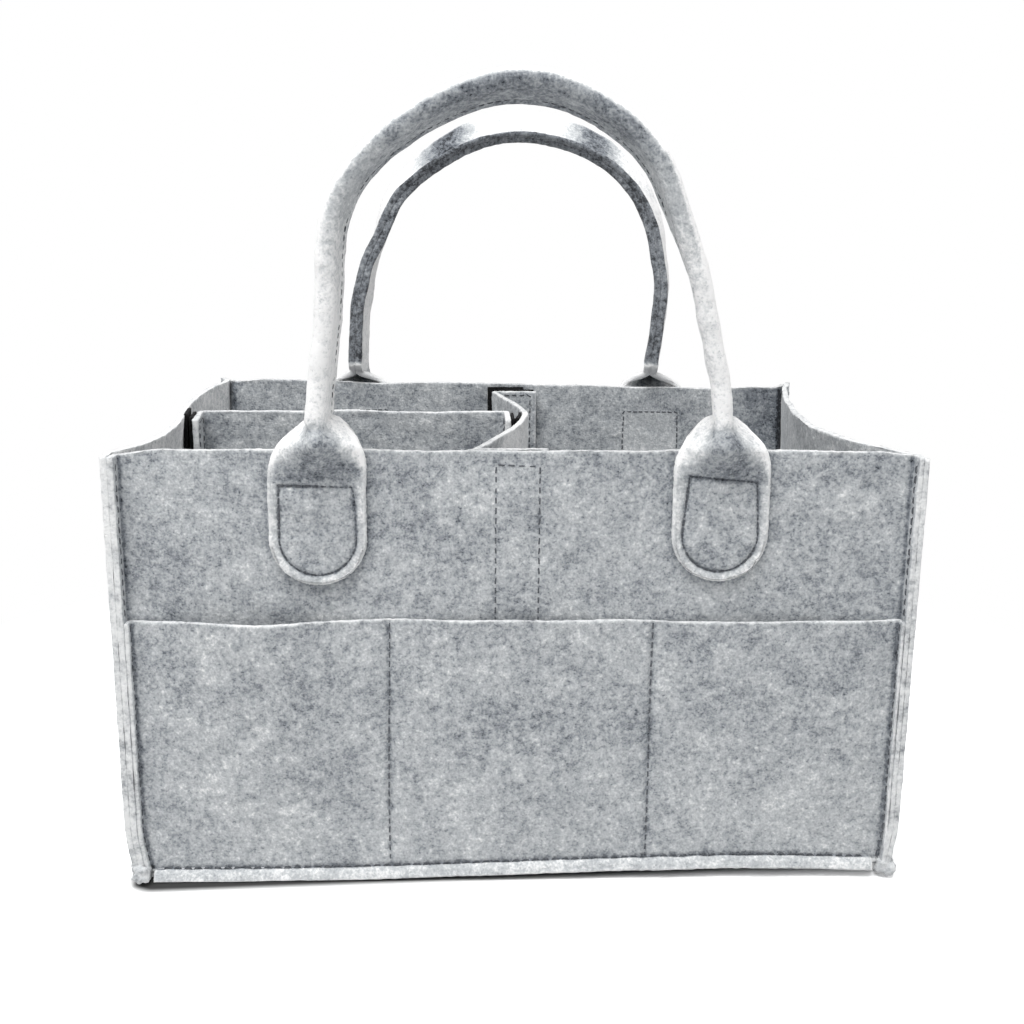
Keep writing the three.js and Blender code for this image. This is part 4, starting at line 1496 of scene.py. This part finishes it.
        # painted light and shade on the legs and arch, painted shade on the folded raw edges
        pale = leg * tone * (1 - raw) - self.raw_shade * raw * folded
        seam_z = float(np.mean(self.stitch_tops))
        rise = np.clip((z - seam_z) / (self.neck_z - seam_z), 0, 1)
        tab = (z < self.neck_z) * ease(z, seam_z - 1, seam_z + 2)
        spread = 0.95 * (1 - rise) ** 1.7
        own = self.across_tab(middle)
        # painted shade in the hollow under the neck, painted highlight on the cheeks
        hollow = tab * (1 - ease(own, spread - 0.1, spread + 0.3)) * (1 - ease(rise, 0.6, 0.9))
        cheek = tab * ease(u, spread, spread + 0.5) * ease(rise, 0.0, 0.5)
        pale = pale - self.hollow_shade * hollow + self.cheek_highlight * cheek * (1 - folded)
        # painted highlight on the puffed border outside the seam
        border = ease(u, 0.8, 0.93) * tab * (1 - folded)
        pale = pale + self.bead_highlight * np.maximum(self.beside_seam(middle, far), border)
        # painted shade in the seam's groove
        return pale - self.seam_shade * peak(far, 0.8)

    def across_tab(self, middle: Array) -> Array:
        """How far each place is from the hollow under the neck, as a share of half the width."""
        across = np.zeros(middle.shape[:2])
        for n, way in enumerate((-1, 1)):
            own = middle[..., 0] * way > 0
            off = (middle[..., 0] - self.tabs[n][0]) / (self.width / 2) - self.hollow_off[n]
            across = np.where(own, np.abs(off), across)
        return across

    def arch_shading(self, x: Array, z: Array, outward: Array, shown: Array) -> Array:
        """The light and shade painted on the arch.

        Args:
            x: the places along the bag.
            z: their heights.
            outward: how far the strap's outer face looks away from the arch's middle.
            shown: one where that face looks to the front, zero where it looks back.

        Returns:
            The paleness at each place.
        """
        if self.side is Side.FRONT:
            # painted highlight on the legs, fading to painted shade over the top, whose face looks
            # down
            heights = (200, 240, 268, 288, 305, 320)
            face = np.interp(z, heights, (self.leg_highlight, self.leg_highlight, 0.6, 0.15, -0.25, -0.5))
            # painted highlight along the outer rim
            rim = ease(outward, 0.15, 0.8)
            return face * (1 - rim) + 1.15 * rim
        # the back arch painted pale all over, with the front handle's cast shadows painted on its
        # front-facing face
        cast_shadows = sum(peak(x - at, wide) for at, wide in self.cast_shadows)
        return 1.0 - 2.1 * shown * cast_shadows * (1 - 0.7 * ease(outward, 0.75, 1.0))

    def tab_path(self, way: int) -> Array:
        """The seam that holds a tab, as x and z, going once round."""
        x, low = self.tabs[way > 0]
        tops = self.stitch_tops[way > 0]
        radius = self.width / 2 - self.stitch_inset
        turn = np.linspace(math.pi, 2 * math.pi, 25)
        middle = low + self.width / 2
        bend = np.stack([x + radius * np.cos(turn), middle + radius * np.sin(turn)], -1)
        left, right = self.inward[way > 0]
        ends = np.array([(x + radius - right, tops[1]), (x - radius + left, tops[0])])
        line = np.concatenate([bend, ends, bend[:1]])
        return walk(line, np.linspace(0, lengths(line)[-1], 90))

    def build(self, thread: Thread) -> None:
        """Makes the strap, its long seam and the seams that hold its tabs.

        Args:
            thread: how it is stitched.
        """
        middle = self.grid()
        far = self.from_seam(middle)
        flank = self.near_flank_seam(middle)
        near = peak(far, self.groove)
        folded = ease(middle[..., 2], self.shoulder[0] + 6, self.neck_z)
        swell = self.raw_edge * 2 * folded * ease(np.abs(self.columns()), 12, 19)
        puffed = self.bead * self.beside_seam(middle, far) * ease(far, 0.6, 2.2)
        thickness = self.walls.felt + swell + puffed - self.sunk * np.maximum(near, 0.55 * flank)
        flat = near[..., None] * np.array([0, self.side.value, 0.0])
        shape = cloth(
            # the cut edges' paler colour, partly a painted highlight, stays on the flat tabs and is
            # mostly taken off the folded strap
            middle - 0.25 * self.sunk * flat,
            thickness,
            1.25,
            0.12,
            90 + self.side.value,
            self.painted_shading(middle, far),
            1 - 0.9 * folded,
        )
        nodes = [f"{self.name}_handle_strap", f"{self.name}_left_tab", f"{self.name}_right_tab"]
        columns = self.columns()
        spine = lengths(middle[:, len(columns) // 2])[-1]
        LOG.info("%s strap: %.0f mm long", self.name, spine)
        cut = Cut(self.width, spine, (f"{self.name}_wall_felt",), Held.FOLDED)
        strap = self.shop.piece(f"{self.name}_handle_felt", Slot.FELT, [shape], None, nodes, cut)
        normal = grid_normals(middle)
        rows = []
        seam = self.width / 2 - self.seam_inset
        body = self.walls.rim_z + 14
        high = (middle[:, len(columns) // 2, 2] > body).nonzero()[0]
        dense = replace(thread, pitch=3.4, stitch=3.1, rise=0.1)
        for n, target in enumerate((-seam, seam)):
            j = int(np.abs(columns - target).argmin())
            other = int(np.abs(columns + target).argmin())
            path, facing = middle[high, j], normal[high, j]
            away = np.sign(((path - middle[high, other]) * facing).sum(1))[:, None]
            facing = facing * away
            sunk = self.walls.felt / 2 - self.sunk * 0.275
            rows.append(dense.row(path + facing * sunk, facing, 100 + n))
        nodes = [f"{self.name}_handle_seam"]
        sewn = self.shop.piece(f"{self.name}_handle_stitches", Slot.THREAD, rows, None, nodes)
        y = self.side.value * self.walls.face_y
        for made in (strap, sewn):
            span = self.blend_reach
            low, high_z = (self.hinge_z - span) * MM, (self.hinge_z + span) * MM
            y * MM
            y * MM
            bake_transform(made)
        for way, hand in HANDS:
            self.tab_stitches(way, hand, replace(dense, radius=0.42, stitch=3.25))

    def tab_stitches(self, way: int, hand: str, thread: Thread) -> None:
        """Makes the seam that holds a tab, on the tab and inside the wall."""
        path = self.tab_path(way)
        x, z = path[:, 0], path[:, 1]
        wave = self.walls.ripple(self.side, x, z)
        sign = self.side.value
        outer = self.walls.face_y + GAP + self.walls.felt + wave - self.sunk * 0.75 + self.proud
        inner = self.walls.face_y - self.walls.felt + wave
        facing = np.array([0.0, sign, 0.0])
        shapes = [
            thread.row(np.stack([x, sign * outer, z], -1), facing, 110 + way),
            thread.row(np.stack([x, sign * inner, z], -1), -facing, 112 + way),
        ]
        node = f"{self.name}_{hand}_tab_seam"
        self.shop.piece(f"{self.name}_{hand}_tab_stitches", Slot.THREAD, shapes, "bag", [node])


@dataclass
class Dividers:
    """The two loose dividers, each with a flap folded over at both ends."""

    shop: Workshop
    walls: Walls
    felt: float = 2.8
    fold: float = 1.9
    low_z: float = 3.3
    top_z: float = 181
    front_fold: tuple[float, float] = (-24, -101.7)
    back_fold: tuple[float, float] = (-7.2, 101.7)
    cross_knots: tuple = (
        (-101.7, -24), (-82, -17), (-50, -6.8), (-20, 1.4), (-4.5, 4.9), (5.5, 6.3), (20, 7.3),
        (32, 6.2), (50, 2.4), (75, -2.2), (101.7, -7.2),
    )  # fmt: skip
    front_flap: float = 36
    back_flap: float = 24
    long_y: float = 20
    long_x: tuple[float, float] = (-153.874, -1.855)
    long_flap: float = 27
    left_splay: float = 3.0
    long_bow: float = 2.2
    # painted highlight on the dividers' faces near the bag's middle
    bend_highlight: float = 0.9
    tape: float = 1.6
    tape_from_fold: float = 4.5
    tape_shifts: tuple[float, float] = (0.0, 6.0)
    tape_width: float = 20
    hinge_z: float = 92.0

    @property
    def tape_off(self) -> float:
        """How far a tape's middle lies from its felt's middle."""
        return self.felt / 2 + GAP + self.tape / 2

    def cross_x(self, y: Array) -> Array:
        """The cross divider's x at a y."""
        return curve(self.cross_knots, y)

    def cross_line(self) -> Array:
        """The cross divider in plan with both flaps."""
        y = np.linspace(self.front_fold[1], self.back_fold[1], 60)
        panel = np.stack([self.cross_x(y), y], -1)
        tips = [(self.front_fold[0] + self.front_flap, self.front_fold[1])]
        tips.append((self.back_fold[0] + self.back_flap, self.back_fold[1]))
        return np.concatenate([[tips[0]], panel, [tips[1]]])

    def long_line(self) -> Array:
        """The long divider in plan with both flaps."""
        share = np.linspace(0, 1, 40)
        x = self.long_x[0] + (self.long_x[1] - self.long_x[0]) * share
        panel = np.stack([x, self.long_y + self.long_bow * np.sin(math.pi * share)], -1)
        flap = self.long_y - self.long_flap
        return np.concatenate([[(x[0] + self.left_splay, flap)], panel, [(x[-1], flap)]])

    def surface(self, line: Array, at: Array, seed: int, tops: tuple[float, float]) -> Array:
        """The middle surface of a divider over some places along its line."""
        plan = walk(line, at)
        total = lengths(line)[-1]
        z = self.low_z + stations(self.top_z - self.low_z, 2.4)
        share = (z - self.low_z) / (self.top_z - self.low_z)
        xx, zz = np.meshgrid(plan[:, 0], z)
        yy = np.broadcast_to(plan[:, 1], xx.shape)
        stops = [0, 30, 44, total - 44, total - 30, total]
        ends = np.interp(at, stops, [tops[0], tops[0], 0, 0, tops[1], tops[1]])
        calm = np.interp(at, [30, 60, total - 60, total - 30], [0, 1, 1, 0])
        wander = 0.4 * calm * waves(along_x(at), 44, seed)
        lift = (wander + ends) * share[:, None] ** 4
        return np.stack([xx, yy, zz + lift], -1)

    def three(
        self, line: Array, flaps: tuple[float, float], seed: int, tops: tuple[float, float]
    ) -> tuple[list[Shape], list[tuple[Array, Array]]]:
        """A divider as its panel and two flaps.

        Args:
            line: its line in plan, flaps included, before the folds are rounded.
            flaps: the flaps' lengths.
            seed: which noise.
            tops: how much higher the two flaps stand.

        Returns:
            The shapes (panel, first flap, last flap), and for each flap the places in plan
            where its fold starts at the panel and ends at the flap.
        """
        bent = rounded(line, self.fold)
        total = lengths(bent)[-1]
        folds, marks = [], []
        for n, flap in enumerate(flaps):
            own = line if n == 0 else line[::-1]
            into, out = unit(own[1] - own[0]), unit(own[2] - own[1])
            turn = math.acos(into @ out)
            start = flap - self.fold * math.tan(turn / 2)
            folds.append((start, start + self.fold * turn))
        sheets = []
        first, last = folds[0][1], total - folds[1][1]
        at = first - 0.5 + stations(last - first + 1, 2.6)
        end = np.minimum(at - at[0], at[-1] - at)
        sheets.append((at, self.felt - 0.9 * (1 - ease(end, 0, 2.5))))
        for n, (start, stop) in enumerate(folds):
            own = stations(stop + 4, 2.2, ((start + stop) / 2, 4.5, 0.6))
            thin = self.felt - 0.8 * ease(own, stop, stop + 3.8)
            sheets.append((own if n == 0 else (total - own)[::-1], thin if n == 0 else thin[::-1]))
            place = np.array([stop, start]) if n == 0 else total - np.array([stop, start])
            ends = walk(bent, place)
            marks.append((ends[0], ends[1]))
        shapes = []
        for places, thickness in sheets:
            middle = self.surface(bent, places, seed, tops)
            spread = np.broadcast_to(thickness, middle.shape[:2])
            x, y, z = (middle[..., axis] for axis in range(3))
            # painted highlight near the bag's middle, growing upwards, kept on the face that looks
            # along +x
            near = ease(y, -75, -40) * (1 - ease(y, 18, 26)) * ease(x, -20, -4)
            shape = cloth(middle, spread, 0.5, 0.1, seed, self.bend_highlight * near * ease(z, 90, 140))
            lit_one_way(shape, middle, (1, 0, 0))
            shapes.append(shape)
        return shapes, marks

    def flat_tape(self, start: Array, end: Array, seed: int) -> Shape:
        """A tape in plan from one place to another, at the walls' tapes' height."""
        low, high = self.walls.tape_z
        length = float(np.linalg.norm(end - start))
        share = stations(length, 2) / length
        plan = start + (end - start) * share[:, None]
        z = low + stations(high - low - 0.3, 2.4)
        return self.walls.tape_sheet(plan[:, 0], plan[:, 1], z[:, None], seed)

    def tape_on(
        self,
        thread: Thread,
        name: str,
        ends: Sequence[Array],
        corners: Array,
        facing: Sequence[float],
        seeds: tuple[int, int],
    ) -> None:
        """Makes the tape on a flap and the stitches round it.

        Args:
            thread: how it is stitched.
            name: the flap's CAD node.
            ends: the tape's two ends in plan.
            corners: the stitches' four corners in x, y and z, on the felt's surface.
            facing: the surface's normal.
            seeds: which noise for the tape, and which unevenness for the stitches.
        """
        tape = self.flat_tape(*ends, seeds[0])
        self.walls.sew_tape(f"{name}_hook_tape", tape, name, f"{name}_tape", f"{name}_felt")
        line = np.concatenate([corners, corners[:1]])
        path = walk(line, np.linspace(0, lengths(line)[-1], 120))
        rows = thread.row(path, facing, seeds[1])
        self.shop.piece(f"{name}_stitches", Slot.THREAD, [rows], name)

    def cross_tape(self) -> Shape:
        """The tape on the cross divider's left face."""
        y = self.walls.left_tape_y[0] + stations(self.tape_width, 2)
        slope = np.gradient(self.cross_x(y), y)
        off = self.tape_off / np.sqrt(1 + slope**2)
        x, yy = self.cross_x(y) - off, y + off * slope
        low, high = self.walls.tape_z
        z = low + stations(high - low, 2.4)
        return self.walls.tape_sheet(x, yy, z[:, None], 76)

    def build(self, thread: Thread) -> None:
        """Makes both dividers with their flaps, tapes and stitches.

        Args:
            thread: how the tapes are stitched.
        """
        tall = self.top_z - self.low_z
        low, high = self.walls.tape_z[0] + 1.5, self.walls.tape_z[1] - 3
        body, flaps = "cross_divider", (self.front_flap, self.back_flap)
        shapes, marks = self.three(self.cross_line(), flaps, 120, (3.2, -0.4))
        cut = Cut(lengths(self.cross_line()[1:-1])[-1], tall, ("bottom_felt",))
        self.shop.piece(f"{body}_felt", Slot.FELT, [shapes[0]], body, [body], cut)
        tape = self.cross_tape()
        self.walls.sew_tape(f"{body}_loop_tape", tape, body, f"{body}_tape", f"{body}_felt")
        folds = (("front", -1, self.front_fold), ("back", 1, self.back_fold))
        for n, (end, sign, fold) in enumerate(folds):
            name = f"cross_{end}_flap"
            self.flap(name, body, shapes[1 + n], marks[n], flaps[n])
            middle = self.walls.tape_middle_x + self.tape_shifts[n]
            y = fold[1] + sign * self.tape_off
            ends = [np.array([middle + way * self.tape_width / 2, y]) for way in (-1, 1)]
            left = max(middle - 10, fold[0] + 4) + 1.2
            right = min(middle + 10, fold[0] + flaps[n]) - 2.2
            face = fold[1] - sign * self.felt / 2
            corners = np.array([(x, face, z) for x, z in box(left, right, low, high)])
            self.tape_on(thread, name, ends, corners, (0, -sign, 0), (77 + n, 130 + n))
        body, flaps = "long_divider", (self.long_flap, self.long_flap)
        shapes, marks = self.three(self.long_line(), flaps, 140, (0.0, 0.4))
        cut = Cut(self.long_x[1] - self.long_x[0], tall, ("bottom_felt",))
        self.shop.piece(f"{body}_felt", Slot.FELT, [shapes[0]], body, [body], cut)
        near = self.long_y - self.tape_from_fold
        drop = self.tape_from_fold + self.tape_width
        for n, (sign, hand) in enumerate(HANDS):
            name = f"long_{hand}_flap"
            self.flap(name, body, shapes[1 + n], marks[n], self.long_flap)
            x = self.long_x[n] + sign * self.tape_off
            slope = self.left_splay / self.long_flap * (hand == "left")
            ends = [
                np.array([x + slope * drop, near - self.tape_width]),
                np.array([x + slope * self.tape_from_fold, near]),
            ]
            face = self.long_x[n] - sign * self.felt / 2
            sides = box(near - 1.2, near - self.tape_width + 1.2, low, high)
            corners = np.array([(face + slope * (self.long_y - y), y, z) for y, z in sides])
            self.tape_on(thread, name, ends, corners, (-sign, 0, 0), (79 + n, 134 + n))

    def flap(
        self, name: str, parent: str, shape: Shape, marks: tuple[Array, Array], reach: float
    ) -> None:
        """Makes one flap, which bends off its divider at the fold.

        Args:
            name: its CAD node.
            parent: the divider that it grows out of.
            shape: its felt.
            marks: the places in plan where its fold starts and ends; not used.
            reach: how long it is.
        """
        cut = Cut(reach, self.top_z - self.low_z, (f"{parent}_felt",), Held.FOLDED)
        made = self.shop.piece(f"{name}_felt", Slot.FELT, [shape], None, [name], cut)
        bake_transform(made)


@dataclass
class Seams:
    """The stitches that hold the walls, the pockets and the tapes."""

    shop: Workshop
    walls: Walls
    pockets: Pockets
    thread: Thread
    inset: float = 1.2
    tape_depth: float = 0.3
    corner_off: float = 3.6
    low_z: float = 8.0
    under_rim: float = 2.5

    def upright(self, side: Side, x: Array, z: Array, outer: Callable, seed: int) -> Shape:
        """A row of stitches on a face given by outer(side, x, z)."""
        path = np.stack([x, outer(side, x, z), z], -1)
        return self.thread.row(path, (0, side.value, 0), seed)

    def inner_y(self, side: Side, x: Array, z: Array) -> Array:
        """The y of a long wall's inner face."""
        return side.value * (self.walls.face_y - self.walls.felt + self.walls.ripple(side, x, z))

    def through(self, side: Side, x: Array, z: Array, seed: int) -> Shape:
        """The same row on the wall's inner face."""
        path = np.stack([x, self.inner_y(side, x, z), z], -1)
        return self.thread.row(path, (0, -side.value, 0), seed)

    def tape_rows(self, side: Side) -> list[Shape]:
        """The seam of a wall tape: up one edge, across its top and down the other."""
        half = self.walls.tape_width / 2 - self.inset
        middle = self.walls.tape_middle_x
        corners = [(-half, 108.0), (-half, 179.0), (half, 178.4), (half, 108.0)]
        line = np.array([(middle + x, z) for x, z in corners])
        path = walk(line, np.linspace(0, lengths(line)[-1], 160))
        shape = self.upright(
            side,
            path[:, 0],
            path[:, 1],
            lambda s, x, z: self.walls.outer_y(s, x, z) - s.value * self.tape_depth,
            150 + side.value,
        )
        return [shape]

    def pocket_rows(self, side: Side, seam: float, seed: int) -> list[Shape]:
        """A pocket's dividing seam, outside and inside."""
        z = np.linspace(self.pockets.top_z - 0.6, 7.0, 60)
        x = seam + 0.35 * np.sin(z / 23 + seed) + (z - 60) * 0.006
        return [
            self.upright(side, x, z, self.pockets.outer_y, seed),
            self.through(side, x, z, seed + 1),
        ]

    def drawn(self, side: Side, x: Array, y: float, z: Array) -> Array:
        """Places along x on the corner margins, drawn in as those of that wall are."""
        if side is Side.FRONT:
            return self.walls.tapered(x, z)
        return self.walls.flared(x, np.full(len(x), y), z)

    def corner_rows(self, side: Side, way: int, seed: int) -> list[Shape]:
        """A corner seam through the margins: on the inner layer and outside the side wall."""
        walls, pockets = self.walls, self.pockets
        y = side.value * (walls.face_y + self.corner_off)
        shapes = []
        upper = walls.half_width - 2 * walls.felt - GAP
        lower = upper - pockets.felt - GAP
        outer = walls.half_width
        if side is Side.FRONT:
            stack = walls.stacks[way > 0]
            outer, upper, lower = stack[0][0] + 1.3, stack[1][0] - 1.2, stack[2][0] - 0.9
        top = walls.rim_z - self.under_rim
        spans = (
            (-way, lower, self.low_z, pockets.top_z - 1, 60),
            (-way, upper, pockets.top_z + 1.5, top, 60),
            (way, outer, self.low_z, top, 90),
        )
        for n, (facing, x, low, high, count) in enumerate(spans):
            z = np.linspace(low, high, count)
            across = np.full(count, way * x)
            if side is Side.BACK and facing == way:
                across = walls.tapered(across, z)
            path = np.stack([self.drawn(side, across, y, z), np.full(count, y), z], -1)
            shapes.append(self.thread.row(path, (facing, 0, 0), seed + n))
        return shapes

    def bottom_rows(self, side: Side) -> Shape:
        """The seam on top of a long bottom margin."""
        x = np.linspace(-150, 150, 120)
        y = side.value * (self.walls.face_y + (2.9 if side is Side.FRONT else 3.0))
        z = 6.3 + self.walls.settled(x) if side is Side.FRONT else np.full(120, 6.0)
        path = np.stack([x, np.full(120, y), z], -1)
        return self.thread.row(path, UP, 170 + side.value)

    def side_bottom_rows(self, way: int) -> Shape:
        """The seam on top of a side's bottom margin."""
        y = np.linspace(-88, 104, 90)
        x = way * (self.walls.half_width + 1.6)
        path = np.stack([np.full(90, x), y, np.full(90, 4.75)], -1)
        return self.thread.row(path, UP, 174 + way)

    def left_tape_rows(self) -> Shape:
        """The seam of the left wall's tape, on the wall's outer face."""
        near, far = self.walls.left_tape_y[0] + self.inset, self.walls.left_tape_y[1] - self.inset
        low, high = self.walls.tape_z[0] + self.inset, self.walls.tape_z[1] - 1.6
        corners = box(near, far, low, high)
        line = np.array([*corners, corners[0]])
        path = walk(line, np.linspace(0, lengths(line)[-1], 160))
        x = -(self.walls.half_width - self.walls.bow(-1, path[:, 0], path[:, 1])) + 0.1
        points = np.stack([x, path[:, 0], path[:, 1]], -1)
        return self.thread.row(points, (-1, 0, 0), 178)

    def build(self) -> None:
        """Makes all rows of stitches on the bag's body."""
        rows = {}
        for side, end in ENDS:
            rows[f"{end}_tape"] = self.tape_rows(side)
            rows[f"{end}_bottom"] = [self.bottom_rows(side)]
            for n, (way, hand) in enumerate(HANDS):
                seed = 180 + 10 * n + side.value
                stem = f"{end}_{hand}"
                rows[f"{stem}_pocket"] = self.pocket_rows(side, self.pockets.seams[n], seed)
                rows[f"{stem}_corner"] = self.corner_rows(side, way, seed + 4)
        for way, hand in HANDS:
            rows[f"{hand}_bottom"] = [self.side_bottom_rows(way)]
        for stem, shapes in rows.items():
            self.shop.piece(f"{stem}_stitches", Slot.THREAD, shapes, "bag", [f"{stem}_seam"])
        self.shop.piece("left_tape_stitches", Slot.THREAD, [self.left_tape_rows()], "bag")


# ---- floor, lamps and camera ----


@dataclass
class Studio:
    """The pale floor, the soft light and the camera at the photograph's viewing angle."""

    focal_px: float = 1235.5
    image_px: float = 1024
    sensor_mm: float = 36
    eye: tuple[float, float, float] = (-17.8, -593.8, 272.3)
    yaw: float = math.radians(1.775)
    pitch: float = math.radians(13.087)
    roll: float = math.radians(-0.482)
    world_level: float = 0.36
    lamps: tuple = (
        ("overhead_lamp", (-0.3, -0.5, 1.5), 1.1, 24.0),
        ("front_lamp", (-0.5, -1.6, 0.9), 1.0, 3.5),
        ("side_lamp", (1.5, -0.1, 0.8), 1.0, 5.0),
    )
    floor_bounce: float = 0.68
    floor_seen: float = 1.9
    # where the contact shadow painted on the floor lies round the bag's footprint, how far it
    # reaches and how dark it is
    footprint: tuple[float, float] = (0.152, 0.104)
    footprint_slant: float = 0.0565
    contact: tuple[float, float] = (0.0072, 0.0160)
    painted_contact_shadow: float = 0.97
    floor_half: float = 6.0
    floor_z: float = -0.0003
    front_sharp: float = 50
    aim_z: float = 0.12
    near_floor: tuple[float, float] = (0.27, 0.42)

    def camera(self) -> None:
        """Makes the camera."""
        ahead = np.array(
            [
                math.sin(self.yaw) * math.cos(self.pitch),
                math.cos(self.yaw) * math.cos(self.pitch),
                -math.sin(self.pitch),
            ]
        )
        right = np.array([math.cos(self.yaw), -math.sin(self.yaw), 0])
        down = np.cross(ahead, right)
        c, s = math.cos(self.roll), math.sin(self.roll)
        across, below = c * right + s * down, -s * right + c * down
        data = bpy.data.cameras.new("camera")
        data.sensor_width = self.sensor_mm
        data.lens = self.sensor_mm * self.focal_px / self.image_px
        data.clip_start, data.clip_end = 0.01, 20
        made = bpy.data.objects.new("camera", data)
        turned = np.eye(4)
        turned[:3, 0], turned[:3, 1], turned[:3, 2] = across, -below, -ahead
        turned[:3, 3] = np.array(self.eye) * MM
        made.matrix_world = Matrix(turned.tolist())
        bpy.context.scene.collection.objects.link(made)
        bpy.context.scene.camera = made

    def lamp(self, name: str, place: Sequence[float], size: float, watts: float) -> None:
        """Makes one soft lamp that points at the bag.

        Args:
            name: the lamp's name.
            place: where it is, in metres.
            size: the length of its sides, in metres.
            watts: how strong it is.
        """
        data = bpy.data.lights.new(name, "AREA")
        data.shape, data.size, data.energy = "SQUARE", size, watts
        made = bpy.data.objects.new(name, data)
        made.location = place
        aim = Vector((0, 0, self.aim_z)) - Vector(place)
        made.rotation_mode = "QUATERNION"
        made.rotation_quaternion = aim.to_track_quat("-Z", "Y")
        bpy.context.scene.collection.objects.link(made)

    def world(self) -> None:
        """Makes the even light from all round, white where the camera sees it."""
        world = bpy.data.worlds.new("studio")
        bpy.context.scene.world = world
        world.use_nodes = True
        r = Recipe("studio_light", world.node_tree)
        light = r.node("ShaderNodeBackground", {}, {"Strength": self.world_level})
        white = r.node("ShaderNodeBackground", {}, {"Strength": 1.0})
        for background in (light, white):
            background.socket.node.inputs["Color"].default_value = (1, 1, 1, 1)
        mixed = r.node("ShaderNodeMixShader", {}, {0: self.seen(r), 1: light, 2: white})
        r.node("ShaderNodeOutputWorld", {}, {"Surface": mixed}, None)

    @staticmethod
    def seen(r: "Recipe") -> Signal:
        """1 for rays from the camera and in gloss or glass, 0 for the light on the object."""
        path = r.node("ShaderNodeLightPath", {}, {}, "Is Camera Ray")
        return path.most(path.other("Is Glossy Ray")).most(path.other("Is Transmission Ray"))

    def floor(self) -> None:
        """Makes the pale floor, with a contact shadow painted dark round the bag's footprint."""
        r = Recipe("pale_floor")
        shade = [(level, level, level, 1.0) for level in (self.floor_bounce, self.floor_seen)]
        matte = r.node("ShaderNodeBsdfDiffuse", {}, {"Color": shade[0]})
        white = r.node("ShaderNodeBsdfDiffuse", {}, {"Color": shade[1]})
        plain = r.node("ShaderNodeEmission", {}, {"Color": (1, 1, 1, 1), "Strength": 1.0})
        at = r.node("ShaderNodeTexCoord", {}, {}, "Object")
        away = r.node("ShaderNodeVectorMath", {"operation": "LENGTH"}, {0: at}, "Value")
        far = away.over(*self.near_floor)
        x = r.node("ShaderNodeSeparateXYZ", {}, {"Vector": at}, "X")
        beside = (x.size() - self.footprint[0]).most(0.0)
        y = x.other("Y")
        front = (y * -self.front_sharp).clear()
        slant = x * self.footprint_slant * front
        before = (y.size() - self.footprint[1] + slant).most(0.0)
        gap = (beside * beside + before * before).root()
        # painted contact shadow: black diffuse mixed in close round the footprint, for camera rays
        under = (1 - gap.over(*self.contact)) * self.painted_contact_shadow
        dark = r.node("ShaderNodeBsdfDiffuse", {}, {"Color": (0, 0, 0, 1)})
        near = r.node("ShaderNodeMixShader", {}, {0: under, 1: white, 2: dark})
        shown = r.node("ShaderNodeMixShader", {}, {0: far, 1: near, 2: plain})
        shader = r.node("ShaderNodeMixShader", {}, {0: self.seen(r), 1: matte, 2: shown})
        size = self.floor_half
        mesh = bpy.data.meshes.new("floor")
        corners = [(-size, -size, 0), (size, -size, 0), (size, size, 0), (-size, size, 0)]
        mesh.from_pydata(corners, [], [(0, 1, 2, 3)])
        mesh.materials.append(r.finish(shader))
        made = bpy.data.objects.new("floor", mesh)
        made.location.z = self.floor_z
        bpy.context.scene.collection.objects.link(made)

    def build(self) -> None:
        """Makes the studio."""
        bpy.context.scene.view_settings.view_transform = "Standard"
        self.camera()
        self.floor()
        self.world()
        for lamp in self.lamps:
            self.lamp(*lamp)


FRONT_KNOTS = (
    (-78.9, 197.3), (-77.7, 209), (-75.4, 227), (-73.4, 243), (-72.0, 265), (-68.0, 280.5),
    (-60.1, 292.7), (-44.2, 306.4), (-22.1, 318), (2.1, 322.2), (21.3, 317.5), (35.1, 309.8),
    (49.5, 296), (57.1, 280.6), (63.4, 265.8), (69, 250.4), (74.6, 229.5), (79.4, 210),
    (80.6, 197.3),
)  # fmt: skip

BACK_KNOTS = (
    (-83.6, 197.3), (-83.0, 208.8), (-81.9, 225.9), (-79.8, 237.1), (-76.9, 250.9), (-70.3, 267.1),
    (-64.0, 284.4), (-53.4, 297.9), (-38.7, 309.6), (-15.7, 321.7), (8.9, 325.5), (33.5, 321.2),
    (53.7, 312.1), (68.6, 299.2), (78.3, 284.2), (83.2, 269.9), (85.4, 256.5), (87.0, 247.0),
    (87.7, 238.1), (86.8, 226.9), (85.0, 211.8), (83.0, 197.3),
)  # fmt: skip


FRONT_TABS = ((-80.6, 129.8), (81.2, 131.6))
BACK_TABS = ((-83.0, 130.0), (83.0, 130.0))


def main() -> None:
    """Builds the bag piece by piece, then the studio round it."""
    logging.basicConfig(level=logging.INFO, format="%(message)s")
    shop = Workshop(
        {
            Slot.FELT: FeltFinish().material(),
            Slot.THREAD: ThreadFinish().material(),
            Slot.TAPE: TapeFinish().material(),
        }
    )
    thread = Thread()
    walls = Walls(shop)
    walls.build()
    pockets = Pockets(shop, walls)
    pockets.build()
    Handle(
        shop,
        walls,
        Side.FRONT,
        "front",
        FRONT_KNOTS,
        roll=24,
        tabs=FRONT_TABS,
        stitch_tops=((170.8, 170.2), (175.4, 172.8)),
        shoulder=(172.0, 198.2),
    ).build(thread)
    Handle(
        shop,
        walls,
        Side.BACK,
        "back",
        BACK_KNOTS,
        roll=50,
        raw_edge=0.7,
        raw_shade=0.95,
        seam_inset=2.4,
        stitch_inset=3.6,
        inward=((0.5, 0.5), (0.5, 0.5)),
        opening=2.0,
        tabs=BACK_TABS,
        stitch_tops=((169, 169), (168.4, 168)),
        shoulder=(173.0, 190.0),
    ).build(thread)
    Dividers(shop, walls).build(thread)
    Seams(shop, walls, pockets, thread).build()
    Studio().build()


if __name__ == "__main__":
    main()
